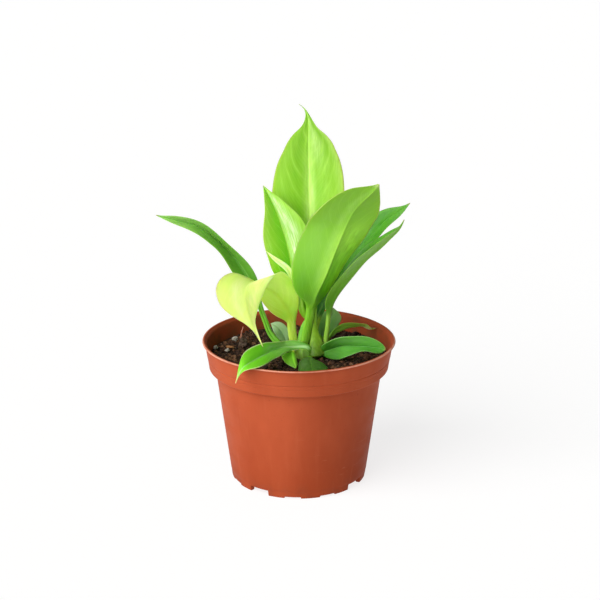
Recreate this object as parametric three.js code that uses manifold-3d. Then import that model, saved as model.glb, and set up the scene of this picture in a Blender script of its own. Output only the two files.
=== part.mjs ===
// A small moonlight philodendron in a thin plastic nursery pot.
// Units are millimetres. The pot's axis is Z, its feet stand on Z = 0, and the
// low front leaves hang towards -Y.
import * as THREE from 'three';
import Module from 'manifold-3d';

// ---- pot -------------------------------------------------------------------
const RIM_OUTER_R = 52.9;      // flared lip, just under 106 mm across
const RIM_TOP_Z = 79.2;
const LIP_H = 1.3;             // thickness of the flared lip
const COLLAR_TOP_R = 51.3;     // collar just under the lip
const COLLAR_BOTTOM_R = 49.4;
const COLLAR_BOTTOM_Z = 64.4;
const WALL_TOP_R = 45.8;       // body wall under the shoulder
const WALL_TOP_Z = 62.6;
const WALL_BOTTOM_R = 38.1;
const FOOT_R = 37.6;
const FOOT_STEP_Z = 4.2;       // faint step round the base
const WALL_T = 1.1;
const LIP_IN_R = 51.5;         // the wall itself flares out into the lip
const FLOOR_UNDER_Z = 3.2;     // the floor is raised behind the feet
const FLOOR_T = 1.1;
const PAD_R = 15;              // middle of the floor drops to the ground
const FOOT_RING_IN_R = 34.7;
const FOOT_COUNT = 12;
const FOOT_GAP = 9;            // width of a plain gap between feet
const FOOT_GAP_H = 0.8;
const FOOT_FIRST_DEG = -95;    // middle of the first gap, measured from +X
const SLOT_W = 11.6;            // every third gap is a drain slot
const SLOT_H = 3;
const POT_SEGMENTS = 60;

// ---- potting mix -----------------------------------------------------------
const GAP = 0.3;               // clearance between touching pieces
const SOIL_TOP_Z = 69.6;
const SOIL_BUMP = 0.45;
const CROWN_X = 3.5, CROWN_Y = -2.0;
const CROWN_R = 7.6;           // buried rootstock the stalks rise from
const CROWN_TOP_Z = 70.2;
const CROWN_BOTTOM_Z = 52;

// ---- leaves ----------------------------------------------------------------
const BLADE_T = 0.7;           // blade thickness of the solids
const MIDRIB_DROP = 0.55;      // how far the midrib stands out underneath
const STALK_STEP = [-1, -0.866, -0.5, 0, 0.5, 0.866, 1];
const BLADE_STEP = [-1, -0.64, -0.17, 0, 0.17, 0.64, 1];

// Each leaf is one growth: its stalk runs into its midrib.
// stalk rows: centre x, y, z, half width, half thickness, from the crown up.
// blade rows: midrib x, y, z, then the left margin, then the right margin.
// upper: +1 or -1, the side of the blade that is the upper face.
const LEAVES = {
  leaf_tall_back: {
    colour: '#a6dc45', upper: 1,
    stalk: [[5.97, 4.6, 72.35, 2.2, 1.8], [5.79, 5.4, 82.04, 2, 1.8], [6, 6.4, 93.34, 1.9, 1.7], [6.37, 7.4, 104.58, 1.8, 1.6]],
    blade: [
      [6.62, 8.5, 116.86, 5.84, 8.34, 116.86, 7.4, 8.34, 116.91],
      [6.52, 9.13, 120.09, 2.73, 8.35, 120.12, 10.3, 8.36, 120.36],
      [6.36, 10.08, 124.96, -2.1, 8.41, 125.02, 14.8, 8.42, 125.56],
      [6.16, 11.34, 131.31, -7.24, 8.83, 131.4, 19.53, 8.82, 132.23],
      [5.94, 12.89, 138.92, -11.47, 9.88, 139.05, 23.18, 9.8, 140.04],
      [5.72, 14.71, 147.46, -14.01, 11.76, 147.67, 24.72, 11.49, 148.58],
      [5.57, 16.76, 156.57, -14.52, 14.25, 156.9, 24.86, 13.68, 157.53],
      [5.47, 18.96, 165.86, -13.31, 16.63, 166.25, 24.25, 16.36, 166.65],
      [5.38, 21.14, 174.95, -10.56, 18.81, 175.28, 22.06, 19.49, 175.56],
      [5.27, 23.1, 183.46, -6.25, 21.29, 183.76, 18.17, 22.06, 183.8],
      [5.28, 24.67, 191.06, 0.55, 23.97, 191.23, 10.62, 24.21, 191.1],
      [4.82, 25.91, 197.39, 3.57, 25.69, 197.15, 6.18, 25.85, 197.71],
      [2.74, 26.96, 201.71, 2.39, 26.84, 201.42, 3.11, 26.99, 202.03],
      [0.17, 27.2, 203.74, 0.01, 27.12, 203.5, 0.34, 27.22, 203.99]
    ] },
  leaf_folded_left: {
    colour: '#9cdd3f', upper: 1,
    stalk: [[3.19, 0.2, 70.7, 1.7, 1.5], [4.17, 0.5, 80.82, 1.6, 1.4], [4.87, 0.7, 90.61, 1.6, 1.4], [2.08, 0.7, 99.24, 1.6, 1.4]],
    blade: [
      [-3.37, 0.5, 106.18, -3.99, 0.14, 106.2, -2.71, 0.23, 106.21],
      [-3.42, 0.77, 108.87, -6.81, -1.36, 109.02, 0.23, -0.82, 109.1],
      [-3.54, 1.21, 113.07, -10.67, -3.77, 113.33, 4.3, -2.38, 113.78],
      [-3.9, 1.87, 118.58, -13.72, -5.58, 118.61, 7.11, -3.22, 120.31],
      [-4.82, 2.83, 125.04, -15.82, -5.5, 124.33, 7.71, -2.39, 128.24],
      [-6.38, 3.97, 132.03, -17.83, -3.88, 130.41, 6.81, 0.33, 135.97],
      [-8.46, 5.16, 139.12, -19.07, -2.48, 136.9, 3.66, 1.99, 143.76],
      [-10.89, 6.38, 145.85, -18.87, -0.85, 144.15, -1.48, 2.67, 150.06],
      [-13.38, 7.44, 151.86, -18.25, 1.88, 150.52, -7.45, 4.17, 155.21],
      [-15.89, 8.25, 156.76, -18.52, 4.66, 155.92, -12.64, 5.88, 158.88],
      [-17.84, 8.83, 160.46, -18.89, 7.23, 160.17, -16.53, 7.67, 161.31],
      [-19.04, 9.2, 162.86, -19.19, 8.96, 162.82, -18.86, 9.02, 162.98]
    ] },
  bract_pointed: {
    colour: '#cdf07c', upper: 1,
    stalk: [[-0.94, 0, 71.36, 1, 0.7], [-2.92, 0.4, 79.1, 1, 0.7], [-3.51, -0.1, 89.72, 1, 0.7], [-3.86, -1.7, 100.59, 1, 0.7]],
    blade: [
      [-3.73, -2.6, 108.86, -3.8, -2.66, 108.85, -3.64, -2.6, 108.86],
      [-3.7, -2.77, 111.17, -4.22, -3.25, 111.13, -3.01, -2.75, 111.17],
      [-4.01, -3.17, 115.08, -5.05, -4.1, 114.77, -2.61, -3.22, 115.33],
      [-5.73, -4.03, 119.75, -6.83, -5.05, 118.82, -4.23, -4.29, 120.63],
      [-9.41, -5.24, 123.6, -10.16, -6.11, 122.38, -8.31, -5.64, 124.79],
      [-13.18, -6.37, 126.82, -13.74, -6.99, 126.02, -12.38, -6.63, 127.61],
      [-15.91, -7.06, 129.58, -16.16, -7.32, 129.3, -15.58, -7.16, 129.88],
      [-17.45, -7.4, 131.29, -17.47, -7.42, 131.27, -17.42, -7.41, 131.31]
    ] },
  leaf_new_drooping: {
    colour: '#dcf07a', upper: -1,
    stalk: [[-1.54, -3.5, 71.16, 1.6, 1.5], [-2.03, -3.5, 75.25, 2.2, 1.6], [-2.96, -3.3, 79.82, 2.35, 1.7], [-3.66, -3.1, 84.96, 2.4, 1.7]],
    blade: [
      [-4.2, -3.2, 90.19, -5.51, -3.4, 90.26, -2.78, -3, 90.41],
      [-5.43, -3.9, 94.54, -9.16, -5.33, 92.08, -0.59, -3.23, 96.37],
      [-7.01, -4.91, 98.68, -12.64, -6.89, 94.51, 0.29, -3.57, 101.33],
      [-9.13, -6.35, 102.67, -15.87, -8.53, 97.83, -0.34, -4.13, 106.41],
      [-11.8, -8.23, 106.44, -19.46, -9.13, 102.7, -2.02, -5.23, 111.43],
      [-15.08, -10.59, 109.96, -23.55, -9.14, 109.34, -4.69, -7.49, 116.21],
      [-19.08, -13.54, 113.32, -27.31, -10.72, 115.97, -8.25, -11.32, 120.63],
      [-23.15, -16.87, 116.1, -32.41, -13.81, 120.52, -11.76, -14.05, 120.28],
      [-26.28, -20.45, 116.72, -37.93, -17.44, 121.24, -14.87, -16.03, 117.14],
      [-27.77, -23.98, 115.34, -41.77, -21.03, 119.16, -17.47, -18.18, 113.33],
      [-28.11, -27.02, 112.17, -43.6, -24.35, 115.55, -19.48, -20.52, 109.31],
      [-27.66, -29.31, 108.15, -42.98, -27.33, 111.16, -21.01, -22.98, 105.4],
      [-26.48, -31.02, 103.48, -40.03, -29.86, 106.36, -22.19, -25.66, 101.75],
      [-24.64, -32.33, 98.39, -33.65, -31.87, 101.7, -22.84, -28.84, 98.54],
      [-22.04, -33.58, 93.09, -25.96, -33.48, 96.99, -21.84, -32.6, 95.19],
      [-18.73, -35, 86.51, -18.94, -35, 86.62, -18.68, -35, 86.73]
    ] },
  leaf_large_front: {
    colour: '#8cc14f', upper: -1,
    stalk: [[2.68, -5.3, 71.53, 1.9, 1.5], [3.01, -5.1, 76.98, 2.5, 1.6], [3.77, -4.9, 80.96, 2.7, 1.7], [5.07, -4.5, 88.33, 2.6, 1.7], [5.93, -4.3, 93.43, 2.6, 1.6]],
    blade: [
      [6.58, -4, 98.48, 5.19, -4.71, 98.94, 7.6, -3.2, 98.22],
      [7.93, -4.88, 101.42, 2.69, -6.9, 102.96, 11.42, -1.92, 100.94],
      [9.55, -6.6, 105.89, -1.79, -9.16, 108.74, 16.11, -0.57, 106.14],
      [11.78, -9.01, 111.61, -3.77, -10.9, 117.36, 19.66, -0.22, 111.95],
      [14.51, -11.77, 118.49, -3.57, -11.3, 125.14, 23.73, -0.97, 119.38],
      [17.08, -14.96, 126.37, -1.47, -11.9, 133.32, 28.27, -3.94, 127.75],
      [19.63, -18.68, 134.74, 1.8, -13.98, 142.55, 32.62, -8.77, 134.94],
      [22.45, -22.51, 143.22, 5.25, -18.68, 150.81, 36.23, -14.38, 142.46],
      [25.19, -26.49, 151.41, 8.51, -26.72, 156.99, 38.99, -20.35, 149.71],
      [28.28, -30.45, 158.73, 14.24, -33.52, 164.6, 41.17, -24.83, 155.07],
      [32.2, -34.23, 164.44, 22.17, -36.99, 170.73, 41.69, -29.37, 159.98],
      [36.03, -37.1, 168.98, 30.03, -38.08, 173.34, 41.61, -34.28, 166.05],
      [38.78, -39.16, 172.67, 36.32, -39.06, 174.33, 41.04, -38.21, 171.7],
      [40.38, -40.5, 175.3, 39.91, -40.41, 175.63, 40.81, -40.33, 175.14]
    ] },
  leaf_dark_right: {
    colour: '#4ba02f', upper: 1,
    stalk: [[9.85, -1.6, 71.29, 1.7, 1.6], [9.72, -1, 77.27, 1.8, 1.6], [9.17, 0, 81.57, 1.5, 1.4], [9.6, 0.8, 85.65, 1.5, 1.4]],
    blade: [
      [10.26, 1.9, 88.18, 9.89, 2.2, 88.17, 10.61, 1.57, 88.2],
      [11.31, 3.24, 91.58, 9.61, 4.67, 91.6, 12.66, 1.49, 91.81],
      [13.44, 5.19, 96.77, 9.94, 8.68, 97.24, 15.49, 0.73, 97.36],
      [17.06, 7.24, 103.39, 12.48, 12.68, 104.69, 18.66, 0.33, 104.24],
      [21.96, 8.84, 111.1, 17.17, 15.35, 113.28, 23.28, 0.86, 111.48],
      [27.8, 9.78, 119.41, 23.23, 16.73, 122.29, 29.1, 1.38, 119.03],
      [34.16, 9.99, 127.78, 29.62, 17.03, 131.45, 35.53, 0.88, 126.58],
      [40.54, 9.65, 135.74, 35.62, 15.19, 140.12, 41.85, 1.89, 134.17],
      [46.58, 9.06, 142.76, 42.69, 12.6, 147.06, 47.7, 3.67, 140.96],
      [52.59, 8.06, 147.63, 50.67, 9.72, 150.75, 53.44, 5.27, 145.73],
      [57.21, 7.24, 151.27, 56.41, 7.73, 152.26, 57.78, 6.43, 150.5],
      [59.95, 6.8, 153.88, 59.83, 6.86, 154.02, 60.06, 6.71, 153.76]
    ] },
  leaf_narrow_right: {
    colour: '#6aa433', upper: -1,
    stalk: [[13.46, -2.8, 71.2, 1.4, 1.3], [14.43, -2.6, 76.09, 1.35, 1.4], [15.11, -2.6, 81.9, 1.3, 1.4], [15.78, -3, 87.82, 1.3, 1.35]],
    blade: [
      [16.28, -3.6, 93.2, 15.84, -3.91, 93.21, 16.28, -3.08, 93.33],
      [17.07, -4.54, 96.78, 14.84, -6.23, 96.88, 16.95, -1.84, 97.52],
      [18.87, -6.03, 102.34, 14.31, -10.17, 103.1, 18.32, -0.11, 104.2],
      [22.52, -7.99, 109.12, 16.63, -14.52, 110.91, 21.58, 0.38, 112.28],
      [27.6, -10.39, 116.59, 20.93, -18.5, 118.56, 26.6, -0.54, 120.49],
      [33.17, -12.96, 124.58, 26.56, -21.27, 126.37, 32.33, -3.09, 128.76],
      [39.43, -15.94, 131.87, 33.9, -23.58, 134.4, 38.93, -7.1, 136.01],
      [45.59, -18.56, 138.38, 40.96, -24.24, 140.2, 45.05, -11.65, 141.42],
      [50.52, -20.87, 144.18, 47.54, -24.33, 145.18, 50.44, -16.59, 146.1],
      [53.55, -22.62, 149.07, 52.37, -23.79, 149.23, 53.5, -21.02, 149.54],
      [54.76, -23.5, 152.55, 54.6, -23.65, 152.56, 54.76, -23.29, 152.6]
    ] },
  leaf_long_left: {
    colour: '#4f9030', upper: 1,
    stalk: [[-6.99, -2.2, 71.57, 2, 1.6], [-11.94, -0.4, 77.06, 1.9, 1.6], [-15.78, 0.6, 81.95, 1.6, 1.5], [-18.15, 0.8, 88.26, 1.5, 1.4], [-19.92, 0.8, 93.46, 1.5, 1.4]],
    blade: [
      [-21.36, -1, 99.22, -21.62, -1.33, 99.17, -21.02, -1.21, 99.35],
      [-22.33, -0.72, 102.23, -23.44, -2.08, 101.98, -20.93, -1.67, 102.78],
      [-24.01, -0.35, 106.77, -26.53, -3.43, 105.95, -20.98, -2.75, 108.2],
      [-26.69, 0.03, 112.53, -30.42, -4.66, 110.93, -22.49, -4.05, 114.92],
      [-30.43, 0.43, 119.13, -34.67, -5.43, 116.76, -26.07, -5.1, 122.23],
      [-35.45, 0.84, 125.94, -38.54, -6.49, 123.89, -32.07, -5.77, 129.3],
      [-41.58, 1.59, 132.37, -43.7, -6.24, 131.29, -39.19, -5.37, 135.94],
      [-48.31, 2.44, 138.17, -50.26, -4.85, 136.69, -46.1, -3.87, 142.04],
      [-55.61, 3.3, 142.33, -57.05, -2.54, 140.44, -54.58, -1.36, 146.47],
      [-62.86, 4.04, 144.46, -63.59, -0.06, 142.64, -62.27, 0.98, 147.78],
      [-69.07, 4.47, 145.82, -69.54, 2.18, 144.54, -68.84, 2.84, 147.92],
      [-73.81, 4.98, 146.73, -73.98, 4.18, 146.2, -73.66, 4.43, 147.52],
      [-76.86, 5, 147.57, -76.89, 4.87, 147.47, -76.82, 4.91, 147.7]
    ] },
  leaf_low_front_left: {
    colour: '#66b832', upper: 1,
    stalk: [[6.4, -6.7, 71.98, 0.9, 0.8], [6.39, -8, 73.49, 1, 0.8]],
    blade: [
      [5.94, -9.4, 75.04, 4.74, -10.4, 74.71, 7.04, -8.2, 74.84],
      [5.09, -9.77, 76.62, 3.85, -10.86, 75.88, 6.5, -8.36, 77.01],
      [2.88, -9.96, 77.56, 2.14, -11.04, 76.72, 3.5, -8.16, 79.11],
      [-0.93, -10.62, 77.78, -1.46, -11.76, 76.8, -0.68, -8.16, 80.63],
      [-5.62, -13.06, 78.46, -5.68, -17.9, 77.55, -5.18, -8.89, 81.04],
      [-10.29, -17.72, 79.62, -9.44, -28.12, 79.02, -9.76, -16.3, 82.97],
      [-14.34, -24.34, 80.49, -13.68, -36.68, 79.86, -14.55, -23.09, 85.06],
      [-18.89, -33.87, 80.94, -17.66, -45.77, 80.28, -20.17, -28.4, 86.03],
      [-23.73, -41.59, 80.97, -21.93, -50.69, 80.37, -25.38, -35.02, 86.07],
      [-27.78, -47.62, 80.43, -25.93, -51.78, 79.96, -28.86, -40.4, 84.91],
      [-30.38, -49.38, 77.76, -29.31, -50.19, 77.8, -30.85, -45.83, 81.33],
      [-31.88, -48.13, 73.98, -31.51, -47.91, 73.9, -31.96, -48.06, 75.67],
      [-32.89, -47.2, 70.8, -32.73, -47.2, 70.8, -33.04, -47.31, 70.9]
    ] },
  leaf_low_right: {
    colour: '#4b9b37', upper: 1,
    stalk: [[8.71, -5.4, 72.32, 1.2, 1], [10.35, -5.2, 71.84, 1.3, 1.1]],
    blade: [
      [11.67, -5, 71.71, 11.43, -4.99, 72.01, 11.68, -5.3, 71.47],
      [13.29, -6.04, 73.02, 11.79, -6.37, 74.68, 13.47, -7.69, 71.46],
      [16.13, -7.62, 74.95, 13.11, -9.45, 78.49, 16.66, -11, 71.2],
      [20.22, -9.52, 77.06, 16.56, -12.7, 81.98, 20.69, -14.02, 71.67],
      [25.24, -11.69, 78.84, 22.54, -14.96, 85.01, 23.97, -17.31, 73.71],
      [30.79, -13.94, 79.45, 29.43, -16.25, 85.98, 28.62, -19.96, 76.7],
      [36.17, -15.95, 79.82, 35.59, -16.76, 86.09, 34.11, -21.89, 79.38],
      [40.9, -17.51, 79.9, 40.85, -17.83, 84.81, 39.45, -22.08, 78.71],
      [44.52, -18.63, 79.82, 44.57, -18.72, 82.75, 43.83, -20.7, 77.84],
      [46.74, -19.3, 79.75, 46.75, -19.31, 80.21, 46.67, -19.47, 79.34]
    ] },
  leaf_curled_back_right: {
    colour: '#5a8a22', upper: 1,
    stalk: [[13.63, 1.2, 71.81, 1.1, 1], [15.06, 2, 75.62, 1, 0.9]],
    blade: [
      [16.66, 3.2, 78.36, 16.65, 3.06, 78.43, 16.78, 3.24, 78.25],
      [18.07, 4.04, 80.1, 17.91, 3.14, 80.74, 18.76, 4.36, 79.29],
      [20.84, 5.95, 82.16, 20.99, 4.56, 84.11, 21.4, 6.55, 79.91],
      [25, 8.94, 82.95, 25.99, 7.51, 85.46, 24.4, 9.83, 80.1],
      [29.65, 12.49, 82.57, 31.44, 10.64, 84.43, 28.12, 13.86, 80.17],
      [34.25, 15.98, 81.56, 35.86, 14.1, 82.83, 32.79, 17.51, 79.79],
      [38.23, 18.57, 79.65, 39.48, 17.53, 80.38, 36.94, 19.26, 78.66],
      [41.35, 20.06, 77.83, 41.59, 19.67, 78.33, 41.19, 20.22, 77.19],
      [43.55, 21, 77.79, 43.56, 20.97, 77.85, 43.55, 21, 77.73]
    ] },
  leaf_small_back_right: {
    colour: '#557f42', upper: 1,
    stalk: [[10.9, 4, 71.39, 1.1, 1], [11.94, 7.6, 73.64, 1.1, 0.9]],
    blade: [
      [12.7, 11, 75.98, 12.39, 11.06, 76.16, 13.01, 10.9, 75.84],
      [13.58, 12.37, 77.02, 10.64, 12.9, 78.75, 16.63, 11.43, 75.7],
      [15.05, 14.62, 79.03, 9.44, 15.29, 81.94, 20.79, 13.14, 76.8],
      [16.71, 16.97, 82.06, 11.08, 17.41, 84.65, 22.19, 15.72, 80.1],
      [18.41, 19.07, 85.26, 13.12, 19.46, 87.66, 23.81, 17.8, 83.37],
      [19.3, 20.79, 87.99, 16.68, 20.55, 88.42, 22.03, 20.61, 87.79],
      [19.36, 21.8, 89.63, 19.21, 21.78, 89.64, 19.5, 21.8, 89.63]
    ] },
  leaf_small_back_left: {
    colour: '#789f6c', upper: 1,
    stalk: [[-3.71, 1.4, 70.56, 1.1, 0.9], [-5.04, 3.2, 72.56, 1, 0.9]],
    blade: [
      [-6.49, 5, 74.56, -6.69, 4.91, 74.56, -6.32, 4.96, 74.69],
      [-7.21, 6.41, 75.9, -9.43, 5.28, 75.84, -5.29, 5.93, 77.43],
      [-8.66, 8.63, 78.41, -12.15, 6.37, 77.89, -5.57, 7.68, 81.1],
      [-11.06, 10.78, 81.16, -13.82, 8.34, 79.84, -8.92, 10.42, 84.38],
      [-13.9, 12.57, 82.58, -14.91, 11.32, 81.59, -13.26, 12.69, 84.31],
      [-15.69, 13.5, 83.08, -15.73, 13.44, 83.03, -15.66, 13.51, 83.16]
    ] },
  leaf_small_front: {
    colour: '#5a8246', upper: -1,
    stalk: [[5.72, -10.4, 72.22, 0.9, 0.7]],
    blade: [
      [5.93, -11.6, 72.14, 5.06, -11.8, 72.1, 6.91, -11.6, 72.14],
      [6.03, -13.71, 72.49, 3.63, -13.47, 72.53, 7.79, -13.43, 72.17],
      [6.22, -17.47, 73.03, 1.82, -16.84, 73.05, 9.68, -16.77, 72.47],
      [6.48, -22.45, 73.48, 0.4, -21.95, 73.27, 12.47, -21.32, 72.89],
      [6.77, -27.79, 73.58, -0.14, -27.76, 72.86, 14.83, -26.15, 72.65],
      [7.14, -32.81, 73.21, 0.02, -32.73, 72.19, 15.51, -30.83, 72.33],
      [7.51, -37.03, 72.75, 2.98, -36.58, 72, 12.2, -35.74, 71.96],
      [7.75, -39.5, 72.39, 7.54, -39.5, 72.39, 8.01, -39.5, 72.44]
    ] },
  sheath_front: {
    colour: '#8cc060', upper: -1,
    stalk: [],
    blade: [
      [2.35, -9.8, 70.32, -0.82, -7.9, 69.86, 4.97, -8.6, 69.88],
      [2.3, -10.26, 71.21, -1.46, -7.95, 70.57, 5.44, -8.88, 70.68],
      [2.23, -11.05, 72.83, -2.15, -8.22, 72.04, 5.83, -9.44, 72.12],
      [2.13, -11.91, 74.83, -2.43, -9.24, 74.14, 5.83, -10.15, 73.81],
      [2.12, -12.64, 76.7, -2.06, -11.06, 75.97, 5.09, -11.67, 75.51],
      [2.23, -12.7, 77.38, 0.17, -12.5, 77.2, 3.96, -12.3, 76.9]
    ] },
  leaf_small_front_left: {
    colour: '#6fb044', upper: -1,
    stalk: [[-4.39, -11.5, 75.68, 1, 0.8]],
    blade: [
      [-4.06, -12.8, 75.23, -5.36, -13.4, 75.33, -2.87, -12.8, 75.46],
      [-3.96, -14.02, 74.73, -8.18, -15.15, 75.29, -2.23, -14.15, 75.03],
      [-3.66, -16.44, 73.79, -8.89, -18.58, 74.66, -1.44, -16.66, 74],
      [-3.01, -19.59, 72.59, -7.15, -22.32, 73.06, -0.82, -19.81, 72.65],
      [-2.15, -22.55, 71.41, -4.34, -24.08, 71.66, -0.83, -22.65, 71.48],
      [-1.54, -24.4, 70.66, -1.75, -24.5, 70.59, -1.27, -24.3, 70.74]
    ] }
};

// ---- loose pieces on the mix: centre x, y, z, half sizes, turn about Z -------
const BITS = {
  perlite_large:   { colour: '#b9b5ae', at: [-36.0, 20.1, 71.5], half: [1.5, 1.3, 1.5], turn: 20, seed: 3 },
  perlite_left:    { colour: '#aaa59c', at: [-46.3, 7.6, 71.0], half: [1.4, 1.1, 1.0], turn: 70, seed: 5 },
  perlite_front:   { colour: '#9c968c', at: [-39.6, 3.0, 70.9], half: [1.3, 0.9, 0.9], turn: -15, seed: 9 },
  bark_chip:       { colour: '#9a6a3c', at: [-38.2, 8.5, 70.9], half: [2.4, 1.0, 0.8], turn: -12, seed: 12 },
  bark_lump:       { colour: '#4a3a2c', at: [-30.9, 12.8, 72.3], half: [2.0, 2.4, 2.6], turn: 15, seed: 21 },
  twig_pale:       { colour: '#a8745c', at: [-32.3, 22.6, 74.2], half: [0.55, 0.55, 4.6], turn: 0, seed: 31, lean: [0.15, 0.05] },
};

// ---- helpers ----------------------------------------------------------------
const sub = (a, b) => [a[0] - b[0], a[1] - b[1], a[2] - b[2]];
const add = (a, b, k = 1) => [a[0] + b[0] * k, a[1] + b[1] * k, a[2] + b[2] * k];
const dot = (a, b) => a[0] * b[0] + a[1] * b[1] + a[2] * b[2];
const cross = (a, b) => [a[1] * b[2] - a[2] * b[1], a[2] * b[0] - a[0] * b[2], a[0] * b[1] - a[1] * b[0]];
const unit = (a) => { const l = Math.hypot(...a) || 1; return [a[0] / l, a[1] / l, a[2] / l]; };
const mix = (a, b, k) => [a[0] + (b[0] - a[0]) * k, a[1] + (b[1] - a[1]) * k, a[2] + (b[2] - a[2]) * k];
const noise = (i, j) => { const v = Math.sin(i * 127.1 + j * 311.7) * 43758.5453; return (v - Math.floor(v)) * 2 - 1; };

function solid(points, tris, colour) {
  let vol = 0;
  for (const [a, b, c] of tris) vol += dot(points[a], cross(points[b], points[c])) / 6;
  const index = [];
  for (const [a, b, c] of tris) vol < 0 ? index.push(a, c, b) : index.push(a, b, c);
  const g = new THREE.BufferGeometry();
  g.setAttribute('position', new THREE.Float32BufferAttribute(points.flat(), 3));
  g.setIndex(index);
  g.computeVertexNormals();
  return new THREE.Mesh(g, new THREE.MeshStandardMaterial({ color: colour, roughness: 0.6 }));
}

// closed tube through rings of equal length, with a fan at each end
function loft(rings, colour) {
  const n = rings[0].length, points = rings.flat(), tris = [];
  for (let i = 0; i + 1 < rings.length; i++) {
    for (let j = 0; j < n; j++) {
      const a = i * n + j, b = i * n + (j + 1) % n, c = a + n, d = b + n;
      tris.push([a, b, d], [a, d, c]);
    }
  }
  for (const [base, flip] of [[0, true], [(rings.length - 1) * n, false]]) {
    const m = points.length;
    const ring = points.slice(base, base + n);
    points.push(ring.reduce((s, p) => add(s, p, 1 / n), [0, 0, 0]));
    for (let j = 0; j < n; j++) {
      const a = base + j, b = base + (j + 1) % n;
      tris.push(flip ? [a, m, b] : [a, b, m]);
    }
  }
  return solid(points, tris, colour);
}

function leafRings({ upper, stalk, blade }) {
  const centres = [...stalk.map((s) => s.slice(0, 3)), ...blade.map((r) => r.slice(0, 3))];
  const tangent = centres.map((_, i) => unit(sub(centres[Math.min(i + 1, centres.length - 1)], centres[Math.max(i - 1, 0)])));
  const ns = stalk.length, first = blade[1];
  let across = unit(sub(first.slice(6, 9), first.slice(3, 6)));
  const rings = [];
  const lastHalf = ns ? stalk[ns - 1] : [0, 0, 0, 1, 0.7];
  for (let i = centres.length - 1; i >= 0; i--) {
    const t = tangent[i], c = centres[i];
    let left, right;
    if (i >= ns) {
      left = sub(blade[i - ns].slice(3, 6), c);
      right = sub(blade[i - ns].slice(6, 9), c);
    }
    if (i < ns || i === ns) {
      across = unit(add(across, t, -dot(across, t)));
      const w = i < ns ? stalk[i][3] : lastHalf[3];
      left = across.map((v) => -v * w);
      right = across.map((v) => v * w);
    } else {
      // the root of the blade is never narrower than the stalk
      const w = lastHalf[3] * Math.max(0, 1 - (i - ns) / 3), a = unit(sub(right, left));
      if (i - ns < 3 && dot(right, a) < w) right = a.map((v) => v * w);
      if (i - ns < 3 && -dot(left, a) < w) left = a.map((v) => -v * w);
      if (i === ns + 1) across = unit(sub(right, left));
    }
    const nrm = unit(cross(sub(right, left), t)).map((v) => v * upper);
    const k = i <= ns ? 0 : Math.min(1, (i - ns) / 2.5);
    const u = i < ns ? 0 : (i - ns) / (blade.length - 1);
    const stalkT = i < ns ? stalk[i][4] : lastHalf[4];
    const lift = (j, low) => {
      const s = STALK_STEP[j], round = stalkT * Math.sqrt(Math.max(0, 1 - s * s));
      const end = Math.abs(s) > 0.999 ? 0 : 1, near = j === 3 ? 1 : j === 2 || j === 4 ? 0.35 : 0;
      const thin = (u > 0.97 ? 0.6 : 1) * BLADE_T / 2;
      const flat = end * (thin + (low ? near * MIDRIB_DROP * (1 - 0.8 * u) : 0));
      return round * (1 - k) + flat * k;
    };
    const along = (j) => {
      const s = STALK_STEP[j] * (1 - k) + BLADE_STEP[j] * k;
      return add(c, s < 0 ? left : right, Math.abs(s));
    };
    const ring = [];
    for (let j = 0; j < 7; j++) ring.push(add(along(j), nrm, lift(j, false)));
    for (let j = 5; j > 0; j--) ring.push(add(along(j), nrm, -lift(j, true)));
    rings.unshift(ring);
  }
  return rings;
}

// lathe with a height offset for each point; the profile starts and ends on the axis
function lathe(profile, segments, colour, shift, cx = 0, cy = 0) {
  const points = [], tris = [], rows = [];
  profile.forEach(([r, z], i) => {
    if (r === 0) { rows.push([points.length]); points.push([cx, cy, z]); return; }
    const row = [];
    for (let j = 0; j < segments; j++) {
      const a = (j / segments) * 2 * Math.PI;
      const [dx, dy, dz] = shift ? shift(i, j) : [0, 0, 0];
      row.push(points.length);
      points.push([cx + r * Math.cos(a) + dx, cy + r * Math.sin(a) + dy, z + dz]);
    }
    rows.push(row);
  });
  for (let i = 0; i + 1 < rows.length; i++) {
    const a = rows[i], b = rows[i + 1];
    for (let j = 0; j < segments; j++) {
      const k = (j + 1) % segments;
      if (a.length === 1) tris.push([a[0], b[j], b[k]]);
      else if (b.length === 1) tris.push([a[j], b[0], a[k]]);
      else tris.push([a[j], b[j], b[k]], [a[j], b[k], a[k]]);
    }
  }
  return solid(points, tris, colour);
}

const wasm = await Module();
wasm.setup();
const { Manifold } = wasm;

function fromManifold(m, colour) {
  const mesh = m.getMesh(), points = [], tris = [];
  for (let i = 0; i < mesh.numVert; i++) {
    const o = i * mesh.numProp;
    points.push([mesh.vertProperties[o], mesh.vertProperties[o + 1], mesh.vertProperties[o + 2]]);
  }
  for (let i = 0; i < mesh.numTri; i++) tris.push([mesh.triVerts[3 * i], mesh.triVerts[3 * i + 1], mesh.triVerts[3 * i + 2]]);
  return solid(points, tris, colour);
}

// inner wall radius of the pot at a height
const wallR = (z) => z >= COLLAR_BOTTOM_Z
  ? COLLAR_BOTTOM_R + (COLLAR_TOP_R - COLLAR_BOTTOM_R) * (z - COLLAR_BOTTOM_Z) / (RIM_TOP_Z - LIP_H - COLLAR_BOTTOM_Z) - WALL_T
  : WALL_BOTTOM_R + (WALL_TOP_R - WALL_BOTTOM_R) * (z - FOOT_STEP_Z) / (WALL_TOP_Z - FOOT_STEP_Z) - WALL_T;

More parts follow.
